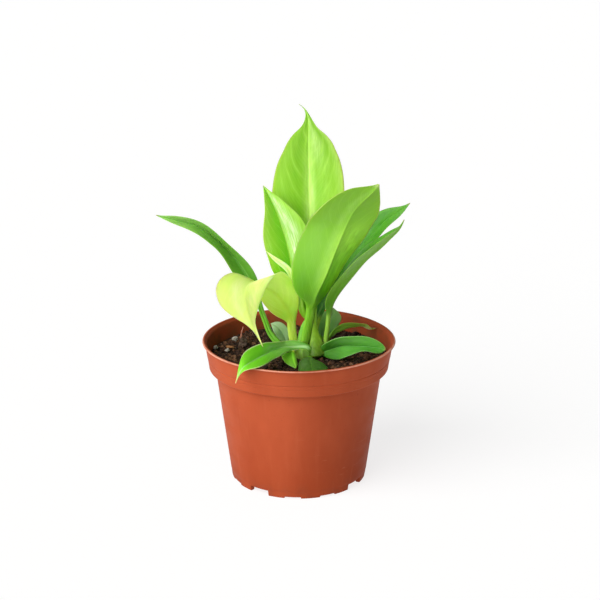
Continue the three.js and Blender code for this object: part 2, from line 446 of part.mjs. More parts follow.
function nurseryPot() {
  const lipIn = COLLAR_TOP_R - WALL_T;
  const profile = [
    [0, 0], [PAD_R, 0], [PAD_R + 2.2, FLOOR_UNDER_Z], [FOOT_RING_IN_R, FLOOR_UNDER_Z], [FOOT_RING_IN_R + 0.6, 0],
    [FOOT_R - 0.5, 0], [FOOT_R, 0.5], [WALL_BOTTOM_R - 0.15, FOOT_STEP_Z - 0.3], [WALL_BOTTOM_R, FOOT_STEP_Z],
    [WALL_TOP_R, WALL_TOP_Z], [WALL_TOP_R + 1.1, WALL_TOP_Z + 0.5], [COLLAR_BOTTOM_R - 0.6, COLLAR_BOTTOM_Z - 0.9],
    [COLLAR_BOTTOM_R, COLLAR_BOTTOM_Z], [COLLAR_TOP_R, RIM_TOP_Z - LIP_H],
    [RIM_OUTER_R - 0.2, RIM_TOP_Z - LIP_H + 0.3], [RIM_OUTER_R, RIM_TOP_Z - LIP_H / 2],
    [RIM_OUTER_R - 0.2, RIM_TOP_Z - 0.15], [RIM_OUTER_R - 0.6, RIM_TOP_Z], [LIP_IN_R + 0.2, RIM_TOP_Z],
    [LIP_IN_R, RIM_TOP_Z - 0.2], [lipIn + 0.35, RIM_TOP_Z - 1.2], [lipIn, RIM_TOP_Z - 1.8], [COLLAR_BOTTOM_R - WALL_T, COLLAR_BOTTOM_Z + 0.6],
    [WALL_TOP_R - WALL_T, WALL_TOP_Z - 0.4], [WALL_BOTTOM_R - WALL_T, FLOOR_UNDER_Z + FLOOR_T + 0.8],
    [WALL_BOTTOM_R - WALL_T - 0.8, FLOOR_UNDER_Z + FLOOR_T], [PAD_R + 1.4, FLOOR_UNDER_Z + FLOOR_T],
    [PAD_R - 0.9, FLOOR_T + 0.2], [0, FLOOR_T + 0.2],
  ];
  let pot = Manifold.revolve([profile], POT_SEGMENTS);
  for (let i = 0; i < FOOT_COUNT; i++) {
    const slot = i % 3 === 2;
    const w = slot ? SLOT_W : FOOT_GAP, h = slot ? SLOT_H : FOOT_GAP_H, deep = slot ? 9 : 5;
    const cut = Manifold.cube([deep, w, h + 2], true).translate([FOOT_R - deep / 2 + 1.5, 0, h / 2 - 1])
      .rotate([0, 0, FOOT_FIRST_DEG + (i * 360) / FOOT_COUNT]);
    pot = pot.subtract(cut);
  }
  return fromManifold(pot, '#bf5535');
}

function pottingMix() {
  const pocket = CROWN_R + GAP;
  const floor = FLOOR_UNDER_Z + FLOOR_T + GAP;
  const rTop = wallR(SOIL_TOP_Z) - GAP - 0.5;
  // ring radii are about the crown near it and about the pot near the wall
  const profile = [
    [0, CROWN_BOTTOM_Z - GAP], [pocket, CROWN_BOTTOM_Z - GAP], [pocket, SOIL_TOP_Z - 0.6], [pocket + 1.4, SOIL_TOP_Z - 0.1],
    [14, SOIL_TOP_Z], [20, SOIL_TOP_Z], [27, SOIL_TOP_Z], [34, SOIL_TOP_Z], [41, SOIL_TOP_Z], [46, SOIL_TOP_Z - 0.2], [rTop, SOIL_TOP_Z - 0.7],
    [COLLAR_BOTTOM_R - WALL_T - GAP - 0.6, COLLAR_BOTTOM_Z + 1.2], [WALL_TOP_R - WALL_T - GAP - 0.4, WALL_TOP_Z - 0.2],
    [WALL_BOTTOM_R - WALL_T - GAP - 0.5, FLOOR_UNDER_Z + FLOOR_T + 1.6], [WALL_BOTTOM_R - WALL_T - 2, floor], [0, floor],
  ];
  const seg = 44;
  const shift = (i, j) => {
    const a = (j / seg) * 2 * Math.PI;
    const pull = i <= 3 ? 1 : i === 4 ? 0.8 : i === 5 ? 0.5 : i === 6 ? 0.25 : 0;
    const dz = i >= 4 && i <= 9 ? SOIL_BUMP * noise(i * 3.3, j) - 0.1 : 0;
    const r = i >= 4 && i <= 8 ? 0.8 * noise(j, i * 1.7) : 0;
    return [CROWN_X * pull + r * Math.cos(a), CROWN_Y * pull + r * Math.sin(a), dz];
  };
  const mesh = lathe(profile, seg, '#2c1c12', shift);
  const p = mesh.geometry.attributes.position;
  p.setX(0, CROWN_X); p.setY(0, CROWN_Y);   // the pocket's floor is centred on the crown
  return mesh;
}

function crown() {
  const profile = [
    [0, CROWN_BOTTOM_Z], [CROWN_R * 0.45, CROWN_BOTTOM_Z], [CROWN_R * 0.7, CROWN_BOTTOM_Z + 3], [CROWN_R * 0.82, 63],
    [CROWN_R, 68], [CROWN_R - 0.5, 69.4], [CROWN_R - 2, CROWN_TOP_Z - 0.2], [0, CROWN_TOP_Z],
  ];
  return lathe(profile, 28, '#7c9a4a', (i, j) => (i > 0 && i < 7 ? [-0.15 * Math.abs(noise(j, i)) * Math.cos((j / 28) * 2 * Math.PI), -0.15 * Math.abs(noise(j, i)) * Math.sin((j / 28) * 2 * Math.PI), 0] : [0, 0, 0]), CROWN_X, CROWN_Y);
}

// a small irregular lump
function bit({ colour, at, half, turn, seed, lean = [0, 0] }) {
  const rows = [[0.62, -0.78], [0.96, -0.2], [0.84, 0.45], [0.42, 0.9]], n = 7, rings = [];
  const t = (turn * Math.PI) / 180;
  rows.forEach(([r, h], i) => {
    const ring = [];
    for (let j = 0; j < n; j++) {
      const a = (j / n) * 2 * Math.PI, k = r * (1 + 0.16 * noise(seed + j, i * 2.1 + seed));
      const x = half[0] * k * Math.cos(a), y = half[1] * k * Math.sin(a), z = half[2] * h;
      ring.push([at[0] + x * Math.cos(t) - y * Math.sin(t) + lean[0] * z, at[1] + x * Math.sin(t) + y * Math.cos(t) + lean[1] * z, at[2] + z]);
    }
    rings.push(ring);
  });
  return loft(rings, colour);
}

const group = new THREE.Group();
group.name = 'potted_moonlight_philodendron';
const put = (name, mesh) => { mesh.name = name; group.add(mesh); };
put('nursery_pot', nurseryPot());
put('potting_mix', pottingMix());
put('crown', crown());
for (const [name, leaf] of Object.entries(LEAVES)) put(name, loft(leafRings(leaf), leaf.colour));
for (const [name, b] of Object.entries(BITS)) put(name, bit(b));
let tris = 0;
group.traverse((o) => { if (o.isMesh) tris += o.geometry.index.count / 3; });
console.log('nodes', group.children.length, 'triangles', tris);

export default group;
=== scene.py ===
# A small moonlight philodendron in a thin plastic nursery pot.
# Lengths in the tables are millimetres; Blender's are metres. The pot's axis is
# Z, its feet stand on Z = 0, and the viewer stands at -Y.
import bpy
import math
import random
import numpy as np
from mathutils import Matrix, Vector, noise as mnoise


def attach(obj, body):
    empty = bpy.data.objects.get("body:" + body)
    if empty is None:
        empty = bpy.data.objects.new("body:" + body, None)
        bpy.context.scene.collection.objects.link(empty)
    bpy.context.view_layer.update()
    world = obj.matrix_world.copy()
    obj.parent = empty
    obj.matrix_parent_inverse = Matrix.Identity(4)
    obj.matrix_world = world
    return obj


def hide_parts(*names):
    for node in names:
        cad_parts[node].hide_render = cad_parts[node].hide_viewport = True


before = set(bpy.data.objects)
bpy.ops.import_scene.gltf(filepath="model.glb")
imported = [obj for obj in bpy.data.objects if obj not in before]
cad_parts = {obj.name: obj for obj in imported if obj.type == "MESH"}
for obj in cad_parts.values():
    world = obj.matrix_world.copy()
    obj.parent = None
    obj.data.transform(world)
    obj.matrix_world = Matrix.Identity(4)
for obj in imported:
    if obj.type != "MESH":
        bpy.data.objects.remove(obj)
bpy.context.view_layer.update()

MM = 0.001

# ---- driving sizes -----------------------------------------------------------
RIM_OUTER_R, RIM_TOP_Z, LIP_H = 52.9, 79.2, 1.3
COLLAR_TOP_R, COLLAR_BOTTOM_R, COLLAR_BOTTOM_Z = 51.3, 49.4, 64.4
GROOVE_Z = 69.6                      # faint line round the collar
WALL_TOP_R, WALL_TOP_Z = 45.8, 62.6
WALL_BOTTOM_R, FOOT_R, FOOT_STEP_Z = 38.1, 37.6, 4.2
WALL_T = 1.1
LIP_IN_R = 51.5
FLOOR_UNDER_Z, FLOOR_T, PAD_R, FOOT_RING_IN_R = 3.2, 1.1, 15.0, 34.7
FOOT_COUNT, FOOT_GAP, FOOT_GAP_H, FOOT_FIRST_DEG, SLOT_W, SLOT_H = 12, 9.0, 0.8, -95.0, 11.6, 3.0
SOIL_Z = 69.7
CROWN = (3.6, -2.1)

# camera: distance and tilt of the view, focal length in pixels of a 600 frame
CAM_DIST, CAM_TILT, CAM_F, CAM_AIM = 800.0, 17.84, 1467.5, (0.71, 0.0, 101.19)

# Leaf rails: midrib x, y, z, left margin, right margin; t is the share of the
# blade's length. Stalk rows: centre x, y, z, half width, half thickness.
LEAVES = {
    "leaf_tall_back": {"upper": 1,
        "stalk": [(5.97, 4.6, 72.35, 2.2, 1.8), (5.79, 5.4, 82.04, 2, 1.8), (6, 6.4, 93.34, 1.9, 1.7), (6.37, 7.4, 104.58, 1.8, 1.6)],
        "t": [0, 0.023, 0.0502, 0.0815, 0.1168, 0.1558, 0.1982, 0.2436, 0.2917, 0.3418, 0.3936, 0.4465, 0.5, 0.5535, 0.6064, 0.6582, 0.7083, 0.7564, 0.8018, 0.8442, 0.8832, 0.9185, 0.9498, 0.977, 1],
        "blade": [
            (6.62, 8.5, 116.86, 5.84, 8.34, 116.86, 7.4, 8.34, 116.91),
            (6.56, 8.9, 118.9, 3.95, 8.36, 118.92, 9.16, 8.36, 119.09),
            (6.48, 9.37, 121.32, 1.44, 8.34, 121.36, 11.51, 8.35, 121.68),
            (6.39, 9.91, 124.11, -1.3, 8.38, 124.16, 14.05, 8.4, 124.65),
            (6.29, 10.53, 127.25, -4.11, 8.51, 127.32, 16.66, 8.52, 127.98),
            (6.18, 11.22, 130.72, -6.81, 8.78, 130.81, 19.13, 8.77, 131.61),
            (6.06, 11.98, 134.49, -9.23, 9.21, 134.6, 21.32, 9.17, 135.51),
            (5.95, 12.8, 138.52, -11.28, 9.82, 138.66, 23.04, 9.74, 139.64),
            (5.83, 13.7, 142.79, -12.95, 10.63, 142.96, 24.21, 10.5, 143.93),
            (5.73, 14.66, 147.23, -13.96, 11.7, 147.45, 24.7, 11.44, 148.35),
            (5.64, 15.67, 151.82, -14.56, 12.92, 152.09, 24.92, 12.49, 152.87),
            (5.57, 16.75, 156.5, -14.52, 14.23, 156.83, 24.86, 13.66, 157.45),
            (5.51, 17.86, 161.22, -14.08, 15.5, 161.59, 24.67, 14.93, 162.1),
            (5.47, 18.98, 165.93, -13.3, 16.65, 166.33, 24.24, 16.38, 166.73),
            (5.43, 20.1, 170.6, -12.19, 17.73, 170.99, 23.38, 17.98, 171.3),
            (5.37, 21.19, 175.17, -10.45, 18.87, 175.5, 21.97, 19.56, 175.78),
            (5.31, 22.23, 179.6, -8.19, 20.14, 179.9, 20.02, 20.99, 180.08),
            (5.26, 23.19, 183.85, -6.02, 21.42, 184.15, 17.94, 22.16, 184.17),
            (5.25, 24.04, 187.88, -2.95, 22.79, 188.16, 14.58, 23.26, 188.01),
            (5.28, 24.78, 191.65, 1.01, 24.15, 191.79, 10.1, 24.37, 191.72),
            (5.17, 25.45, 195.13, 3.01, 25.11, 195, 7.56, 25.28, 195.37),
            (4.6, 26.1, 198.2, 3.59, 25.9, 197.95, 5.7, 26.06, 198.54),
            (3.48, 26.72, 200.73, 2.99, 26.59, 200.45, 4, 26.74, 201.06),
            (1.86, 27.11, 202.53, 1.62, 27.01, 202.26, 2.11, 27.13, 202.82),
            (0.17, 27.2, 203.74, 0.01, 27.12, 203.5, 0.34, 27.22, 203.99)
        ]},
    "leaf_folded_left": {"upper": 1,
        "stalk": [(3.19, 0.2, 70.7, 1.7, 1.5), (4.17, 0.5, 80.82, 1.6, 1.4), (4.87, 0.7, 90.61, 1.6, 1.4), (2.08, 0.7, 99.24, 1.6, 1.4)],
        "t": [0, 0.0281, 0.0622, 0.1022, 0.1477, 0.1982, 0.2531, 0.3115, 0.3727, 0.4359, 0.5, 0.5641, 0.6273, 0.6885, 0.7469, 0.8018, 0.8523, 0.8978, 0.9378, 0.9719, 1],
        "blade": [
            (-3.37, 0.5, 106.18, -3.99, 0.14, 106.2, -2.71, 0.23, 106.21),
            (-3.4, 0.67, 107.86, -5.64, -0.7, 107.96, -1, -0.36, 108),
            (-3.44, 0.88, 109.9, -7.92, -2.02, 110.1, 1.41, -1.28, 110.24),
            (-3.51, 1.13, 112.3, -10.08, -3.39, 112.55, 3.69, -2.16, 112.9),
            (-3.63, 1.43, 115.01, -11.93, -4.58, 115.24, 5.57, -2.83, 116.03),
            (-3.85, 1.8, 118.02, -13.49, -5.48, 118.1, 6.95, -3.21, 119.62),
            (-4.21, 2.24, 121.27, -14.74, -5.88, 121.03, 7.66, -3.2, 123.67),
            (-4.76, 2.77, 124.7, -15.73, -5.56, 124.03, 7.73, -2.5, 127.85),
            (-5.49, 3.36, 128.27, -16.71, -4.76, 127.13, 7.43, -1.17, 131.87),
            (-6.35, 3.95, 131.92, -17.8, -3.91, 130.31, 6.84, 0.29, 135.85),
            (-7.35, 4.56, 135.6, -18.61, -3.07, 133.57, 5.53, 1.43, 139.89),
            (-8.5, 5.18, 139.23, -19.08, -2.46, 137, 3.59, 2, 143.87),
            (-9.74, 5.82, 142.76, -19.11, -1.76, 140.71, 1.1, 2.32, 147.36),
            (-11.01, 6.44, 146.17, -18.84, -0.74, 144.5, -1.76, 2.72, 150.34),
            (-12.28, 7.01, 149.39, -18.42, 0.65, 147.96, -4.9, 3.44, 153.1),
            (-13.62, 7.53, 152.37, -18.24, 2.13, 151.05, -7.97, 4.32, 155.63),
            (-14.98, 7.97, 155.05, -18.37, 3.59, 153.97, -10.79, 5.2, 157.7),
            (-16.25, 8.36, 157.44, -18.57, 5.13, 156.71, -13.39, 6.19, 159.31),
            (-17.37, 8.69, 159.55, -18.77, 6.61, 159.14, -15.63, 7.21, 160.68),
            (-18.29, 8.97, 161.36, -19.01, 7.85, 161.17, -17.41, 8.14, 161.94),
            (-19.04, 9.2, 162.86, -19.19, 8.96, 162.82, -18.86, 9.02, 162.98)
        ]},
    "bract_pointed": {"upper": 1,
        "stalk": [(-0.94, 0, 71.36, 1, 0.7), (-2.92, 0.4, 79.1, 1, 0.7), (-3.51, -0.1, 89.72, 1, 0.7), (-3.86, -1.7, 100.59, 1, 0.7)],
        "t": [0, 0.042, 0.0962, 0.1617, 0.237, 0.3201, 0.4087, 0.5, 0.5913, 0.6799, 0.763, 0.8383, 0.9038, 0.958, 1],
        "blade": [
            (-3.73, -2.6, 108.86, -3.8, -2.66, 108.85, -3.64, -2.6, 108.86),
            (-3.71, -2.69, 110.04, -3.99, -2.95, 110.02, -3.33, -2.67, 110.03),
            (-3.71, -2.81, 111.56, -4.3, -3.35, 111.51, -2.91, -2.79, 111.57),
            (-3.79, -2.98, 113.4, -4.66, -3.76, 113.24, -2.61, -2.98, 113.49),
            (-4.09, -3.23, 115.48, -5.15, -4.18, 115.13, -2.64, -3.29, 115.77),
            (-4.73, -3.59, 117.7, -5.88, -4.62, 117.07, -3.17, -3.74, 118.27),
            (-5.82, -4.07, 119.89, -6.91, -5.08, 118.94, -4.33, -4.33, 120.79),
            (-7.41, -4.62, 121.83, -8.3, -5.55, 120.64, -6.15, -5.01, 122.97),
            (-9.28, -5.21, 123.5, -10.04, -6.07, 122.27, -8.18, -5.6, 124.69),
            (-11.16, -5.78, 125.05, -11.83, -6.56, 123.97, -10.17, -6.12, 126.1),
            (-12.88, -6.29, 126.55, -13.46, -6.94, 125.7, -12.05, -6.56, 127.38),
            (-14.39, -6.7, 127.98, -14.86, -7.19, 127.39, -13.74, -6.89, 128.58),
            (-15.65, -7, 129.3, -15.95, -7.31, 128.96, -15.25, -7.11, 129.65),
            (-16.67, -7.23, 130.41, -16.79, -7.35, 130.28, -16.5, -7.27, 130.55),
            (-17.45, -7.4, 131.29, -17.47, -7.42, 131.27, -17.42, -7.41, 131.31)
        ]},
    "leaf_new_drooping": {"upper": -1,
        "stalk": [(-1.54, -3.5, 71.16, 1.6, 1.5), (-2.03, -3.5, 75.25, 2.2, 1.6), (-2.96, -3.3, 79.82, 2.35, 1.7), (-3.66, -3.1, 84.96, 2.4, 1.7)],
        "t": [0, 0.0417, 0.0833, 0.125, 0.1667, 0.2083, 0.25, 0.2917, 0.3333, 0.375, 0.4167, 0.4583, 0.5, 0.5417, 0.5833, 0.625, 0.6667, 0.7083, 0.75, 0.7917, 0.8333, 0.875, 0.9167, 0.9583, 1],
        "blade": [
            (-4.2, -3.2, 90.19, -5.51, -3.4, 90.26, -2.78, -3, 90.41),
            (-4.94, -3.61, 92.95, -7.82, -4.68, 91.34, -1.2, -3.14, 94.33),
            (-5.79, -4.12, 95.59, -10.04, -5.74, 92.63, -0.26, -3.31, 97.65),
            (-6.79, -4.76, 98.17, -12.22, -6.69, 94.16, 0.26, -3.52, 100.72),
            (-8, -5.57, 100.7, -14.27, -7.72, 96.04, 0.16, -3.81, 103.84),
            (-9.43, -6.57, 103.16, -16.28, -8.69, 98.34, -0.51, -4.22, 107.05),
            (-11.07, -7.72, 105.52, -18.48, -9.12, 101.26, -1.51, -4.86, 110.2),
            (-12.95, -9.05, 107.78, -21, -9.1, 105.08, -2.91, -5.91, 113.23),
            (-15.08, -10.59, 109.96, -23.55, -9.14, 109.34, -4.69, -7.49, 116.21),
            (-17.52, -12.36, 112.09, -25.88, -9.86, 113.6, -6.84, -9.79, 119.24),
            (-20.13, -14.35, 114.09, -28.4, -11.41, 117.35, -9.18, -12.2, 121.07),
            (-22.67, -16.44, 115.82, -31.69, -13.38, 120.11, -11.35, -13.8, 120.58),
            (-24.89, -18.63, 116.78, -35.3, -15.6, 121.45, -13.36, -15.02, 118.83),
            (-26.57, -20.91, 116.63, -38.53, -17.89, 121.07, -15.23, -16.29, 116.69),
            (-27.56, -23.14, 115.84, -41.01, -20.15, 119.82, -16.88, -17.63, 114.31),
            (-27.97, -25.2, 114.33, -42.69, -22.31, 117.95, -18.29, -19.04, 111.83),
            (-28.11, -27.02, 112.17, -43.6, -24.35, 115.55, -19.48, -20.52, 109.31),
            (-27.94, -28.53, 109.74, -43.49, -26.26, 112.88, -20.48, -22.04, 106.85),
            (-27.42, -29.79, 107.03, -42.5, -28.02, 109.98, -21.33, -23.62, 104.46),
            (-26.66, -30.83, 104.09, -40.57, -29.57, 106.97, -22.05, -25.31, 102.19),
            (-25.65, -31.7, 100.96, -37.16, -30.93, 103.95, -22.65, -27.15, 100.07),
            (-24.36, -32.49, 97.75, -32.72, -32.09, 101.17, -22.83, -29.31, 98.19),
            (-22.76, -33.26, 94.49, -27.88, -33.1, 98.42, -22.26, -31.72, 96.25),
            (-20.9, -34.08, 90.84, -23.23, -34.05, 94.12, -20.98, -33.7, 92.94),
            (-18.73, -35, 86.51, -18.94, -35, 86.62, -18.68, -35, 86.73)
        ]},
    "leaf_large_front": {"upper": -1,
        "stalk": [(2.68, -5.3, 71.53, 1.9, 1.5), (3.01, -5.1, 76.98, 2.5, 1.6), (3.77, -4.9, 80.96, 2.7, 1.7), (5.07, -4.5, 88.33, 2.6, 1.7), (5.93, -4.3, 93.43, 2.6, 1.6)],
        "t": [0, 0.023, 0.0502, 0.0815, 0.1168, 0.1558, 0.1982, 0.2436, 0.2917, 0.3418, 0.3936, 0.4465, 0.5, 0.5535, 0.6064, 0.6582, 0.7083, 0.7564, 0.8018, 0.8442, 0.8832, 0.9185, 0.9498, 0.977, 1],
        "blade": [
            (6.58, -4, 98.48, 5.19, -4.71, 98.94, 7.6, -3.2, 98.22),
            (7.45, -4.54, 100.34, 3.83, -6.12, 101.5, 9.96, -2.44, 99.84),
            (8.38, -5.27, 102.55, 1.38, -7.61, 104.38, 12.88, -1.42, 102.23),
            (9.28, -6.28, 105.11, -1.15, -8.83, 107.63, 15.47, -0.73, 105.28),
            (10.3, -7.48, 107.97, -2.97, -9.99, 111.96, 17.54, -0.26, 108.26),
            (11.55, -8.79, 111.08, -3.7, -10.8, 116.61, 19.35, -0.21, 111.41),
            (12.97, -10.18, 114.45, -3.87, -11.18, 120.91, 21.34, -0.42, 114.97),
            (14.38, -11.63, 118.12, -3.62, -11.29, 124.78, 23.53, -0.9, 118.98),
            (15.73, -13.17, 122.06, -2.82, -11.47, 128.78, 25.77, -1.98, 123.25),
            (17.01, -14.87, 126.17, -1.53, -11.87, 133.09, 28.15, -3.83, 127.55),
            (18.28, -16.73, 130.38, -0.09, -12.65, 137.76, 30.54, -6.12, 131.44),
            (19.61, -18.65, 134.68, 1.77, -13.95, 142.48, 32.59, -8.73, 134.89),
            (21.03, -20.56, 139, 3.74, -15.77, 146.94, 34.47, -11.49, 138.57),
            (22.47, -22.54, 143.28, 5.27, -18.73, 150.87, 36.26, -14.43, 142.52),
            (23.88, -24.58, 147.49, 6.77, -22.77, 154.08, 37.67, -17.59, 146.31),
            (25.26, -26.59, 151.61, 8.62, -26.93, 157.16, 39.07, -20.48, 149.88),
            (26.72, -28.59, 155.52, 11.09, -30.77, 160.93, 40.45, -22.86, 152.83),
            (28.45, -30.65, 159.04, 14.61, -33.75, 164.97, 41.22, -25.04, 155.3),
            (30.43, -32.67, 162.13, 18.62, -35.81, 168.43, 41.59, -27.34, 157.77),
            (32.55, -34.51, 164.87, 22.87, -37.15, 171.09, 41.7, -29.78, 160.45),
            (34.64, -36.1, 167.33, 27.04, -37.82, 172.75, 41.77, -32.37, 163.57),
            (36.53, -37.47, 169.6, 31.15, -38.18, 173.51, 41.53, -34.99, 167.02),
            (38.13, -38.65, 171.7, 34.77, -38.7, 174.04, 41.22, -37.27, 170.28),
            (39.39, -39.66, 173.63, 37.72, -39.49, 174.74, 40.91, -39.04, 173.01),
            (40.38, -40.5, 175.3, 39.91, -40.41, 175.63, 40.81, -40.33, 175.14)
        ]},
    "leaf_dark_right": {"upper": 1,
        "stalk": [(9.85, -1.6, 71.29, 1.7, 1.6), (9.72, -1, 77.27, 1.8, 1.6), (9.17, 0, 81.57, 1.5, 1.4), (9.6, 0.8, 85.65, 1.5, 1.4)],
        "t": [0, 0.0281, 0.0622, 0.1022, 0.1477, 0.1982, 0.2531, 0.3115, 0.3727, 0.4359, 0.5, 0.5641, 0.6273, 0.6885, 0.7469, 0.8018, 0.8523, 0.8978, 0.9378, 0.9719, 1],
        "blade": [
            (10.26, 1.9, 88.18, 9.89, 2.2, 88.17, 10.61, 1.57, 88.2),
            (10.9, 2.74, 90.31, 9.76, 3.67, 90.3, 11.87, 1.63, 90.44),
            (11.76, 3.74, 92.88, 9.53, 5.69, 92.95, 13.42, 1.32, 93.2),
            (12.99, 4.85, 95.83, 9.75, 7.99, 96.19, 15.01, 0.86, 96.35),
            (14.64, 5.99, 99.12, 10.63, 10.27, 99.87, 16.61, 0.5, 99.85),
            (16.67, 7.06, 102.72, 12.14, 12.35, 103.94, 18.33, 0.33, 103.57),
            (19.03, 8, 106.6, 14.25, 14.05, 108.31, 20.45, 0.44, 107.33),
            (21.69, 8.78, 110.7, 16.9, 15.26, 112.84, 23.02, 0.82, 111.11),
            (24.6, 9.37, 114.94, 19.88, 16.14, 117.47, 25.89, 1.19, 114.99),
            (27.71, 9.77, 119.27, 23.13, 16.72, 122.14, 29, 1.38, 118.91),
            (30.95, 9.97, 123.62, 26.5, 17.08, 126.83, 32.29, 1.16, 122.82),
            (34.26, 9.99, 127.91, 29.71, 17.02, 131.59, 35.63, 0.88, 126.7),
            (37.59, 9.85, 132.1, 32.83, 16.21, 136.22, 38.92, 1.23, 130.62),
            (40.85, 9.62, 136.12, 35.92, 15.07, 140.51, 42.16, 1.96, 134.54),
            (44, 9.34, 139.92, 39.34, 13.76, 144.27, 45.25, 2.9, 138.31),
            (47.14, 8.98, 143.32, 43.46, 12.33, 147.6, 48.23, 3.83, 141.45),
            (50.38, 8.47, 146.04, 47.9, 10.76, 149.9, 51.27, 4.69, 143.96),
            (53.47, 7.9, 148.27, 51.76, 9.31, 150.99, 54.3, 5.51, 146.51),
            (56.13, 7.42, 150.31, 55.02, 8.16, 151.78, 56.83, 6.19, 149.23),
            (58.26, 7.07, 152.24, 57.74, 7.37, 152.84, 58.65, 6.6, 151.74),
            (59.95, 6.8, 153.88, 59.83, 6.86, 154.02, 60.06, 6.71, 153.76)
        ]},
    "leaf_narrow_right": {"upper": -1,
        "stalk": [(13.46, -2.8, 71.2, 1.4, 1.3), (14.43, -2.6, 76.09, 1.35, 1.4), (15.11, -2.6, 81.9, 1.3, 1.4), (15.78, -3, 87.82, 1.3, 1.35)],
        "t": [0, 0.0281, 0.0622, 0.1022, 0.1477, 0.1982, 0.2531, 0.3115, 0.3727, 0.4359, 0.5, 0.5641, 0.6273, 0.6885, 0.7469, 0.8018, 0.8523, 0.8978, 0.9378, 0.9719, 1],
        "blade": [
            (16.28, -3.6, 93.2, 15.84, -3.91, 93.21, 16.28, -3.08, 93.33),
            (16.7, -4.12, 95.18, 15.35, -5.1, 95.22, 16.66, -2.51, 95.61),
            (17.26, -4.75, 97.57, 14.64, -6.79, 97.72, 17.1, -1.53, 98.47),
            (18.1, -5.48, 100.33, 14.22, -8.78, 100.8, 17.72, -0.58, 101.79),
            (19.32, -6.32, 103.38, 14.47, -10.88, 104.31, 18.68, 0.07, 105.45),
            (20.99, -7.24, 106.61, 15.46, -13, 108.09, 20.13, 0.38, 109.34),
            (23.07, -8.26, 109.97, 17.07, -15.03, 111.83, 22.13, 0.35, 113.26),
            (25.43, -9.37, 113.45, 19.01, -16.92, 115.41, 24.49, -0.02, 117.15),
            (27.93, -10.55, 117.07, 21.24, -18.73, 119.05, 26.92, -0.63, 120.98),
            (30.52, -11.73, 120.81, 23.87, -20.17, 122.81, 29.42, -1.61, 124.69),
            (33.17, -12.96, 124.58, 26.56, -21.27, 126.37, 32.33, -3.09, 128.76),
            (35.94, -14.4, 128.18, 29.56, -22.49, 130.11, 35.42, -4.92, 132.64),
            (39.01, -15.77, 131.46, 33.42, -23.5, 133.97, 38.51, -6.84, 135.65),
            (42.13, -17.04, 134.54, 36.8, -23.94, 136.83, 41.66, -8.87, 138.36),
            (44.94, -18.27, 137.62, 40.12, -24.2, 139.53, 44.4, -11.08, 140.82),
            (47.46, -19.39, 140.62, 43.4, -24.32, 142.16, 47.05, -13.36, 143.25),
            (49.8, -20.5, 143.34, 46.55, -24.35, 144.49, 49.68, -15.78, 145.49),
            (51.81, -21.56, 145.85, 49.43, -24.18, 146.5, 51.75, -18.21, 147.2),
            (53.23, -22.41, 148.32, 51.77, -23.87, 148.55, 53.17, -20.42, 148.94),
            (54.12, -23.03, 150.62, 53.47, -23.66, 150.68, 54.11, -22.13, 150.85),
            (54.76, -23.5, 152.55, 54.6, -23.65, 152.56, 54.76, -23.29, 152.6)
        ]},
    "leaf_long_left": {"upper": 1,
        "stalk": [(-6.99, -2.2, 71.57, 2, 1.6), (-11.94, -0.4, 77.06, 1.9, 1.6), (-15.78, 0.6, 81.95, 1.6, 1.5), (-18.15, 0.8, 88.26, 1.5, 1.4), (-19.92, 0.8, 93.46, 1.5, 1.4)],
        "t": [0, 0.0253, 0.0556, 0.0908, 0.1306, 0.1747, 0.2226, 0.2739, 0.328, 0.3841, 0.4417, 0.5, 0.5583, 0.6159, 0.672, 0.7261, 0.7774, 0.8253, 0.8694, 0.9092, 0.9444, 0.9747, 1],
        "blade": [
            (-21.36, -1, 99.22, -21.62, -1.33, 99.17, -21.02, -1.21, 99.35),
            (-21.96, -0.82, 101.11, -22.71, -1.74, 100.96, -21.01, -1.45, 101.48),
            (-22.72, -0.62, 103.37, -24.21, -2.44, 103, -20.86, -1.93, 104.13),
            (-23.69, -0.41, 105.96, -25.97, -3.2, 105.26, -20.91, -2.54, 107.23),
            (-24.91, -0.2, 108.84, -27.93, -3.94, 107.72, -21.36, -3.23, 110.65),
            (-26.41, 0, 111.97, -30.05, -4.57, 110.43, -22.28, -3.93, 114.28),
            (-28.16, 0.2, 115.31, -32.25, -5.03, 113.37, -23.75, -4.55, 118.04),
            (-30.21, 0.41, 118.79, -34.47, -5.38, 116.44, -25.82, -5.05, 121.86),
            (-32.6, 0.61, 122.3, -36.43, -5.89, 119.87, -28.62, -5.44, 125.54),
            (-35.32, 0.82, 125.78, -38.44, -6.47, 123.71, -31.91, -5.76, 129.14),
            (-38.34, 1.15, 129.15, -40.8, -6.62, 127.74, -35.56, -5.76, 132.62),
            (-41.58, 1.59, 132.37, -43.7, -6.24, 131.29, -39.19, -5.37, 135.94),
            (-44.97, 2.05, 135.44, -47.02, -5.63, 134.2, -42.63, -4.73, 139.12),
            (-48.47, 2.46, 138.29, -50.42, -4.8, 136.8, -46.28, -3.82, 142.17),
            (-52.15, 2.88, 140.71, -53.89, -3.7, 138.98, -50.49, -2.6, 144.83),
            (-55.99, 3.35, 142.47, -57.39, -2.4, 140.58, -55.01, -1.22, 146.6),
            (-59.82, 3.78, 143.68, -60.83, -1.05, 141.8, -59.17, 0.08, 147.42),
            (-63.47, 4.08, 144.61, -64.16, 0.14, 142.82, -62.89, 1.15, 147.83),
            (-66.86, 4.29, 145.38, -67.39, 1.28, 143.83, -66.45, 2.11, 148),
            (-69.92, 4.57, 145.97, -70.36, 2.56, 144.83, -69.74, 3.16, 147.85),
            (-72.63, 4.89, 146.47, -72.89, 3.74, 145.75, -72.48, 4.09, 147.6),
            (-74.95, 5.02, 147.02, -75.05, 4.51, 146.66, -74.82, 4.67, 147.53),
            (-76.86, 5, 147.57, -76.89, 4.87, 147.47, -76.82, 4.91, 147.7)
        ]},
    "leaf_low_front_left": {"upper": 1,
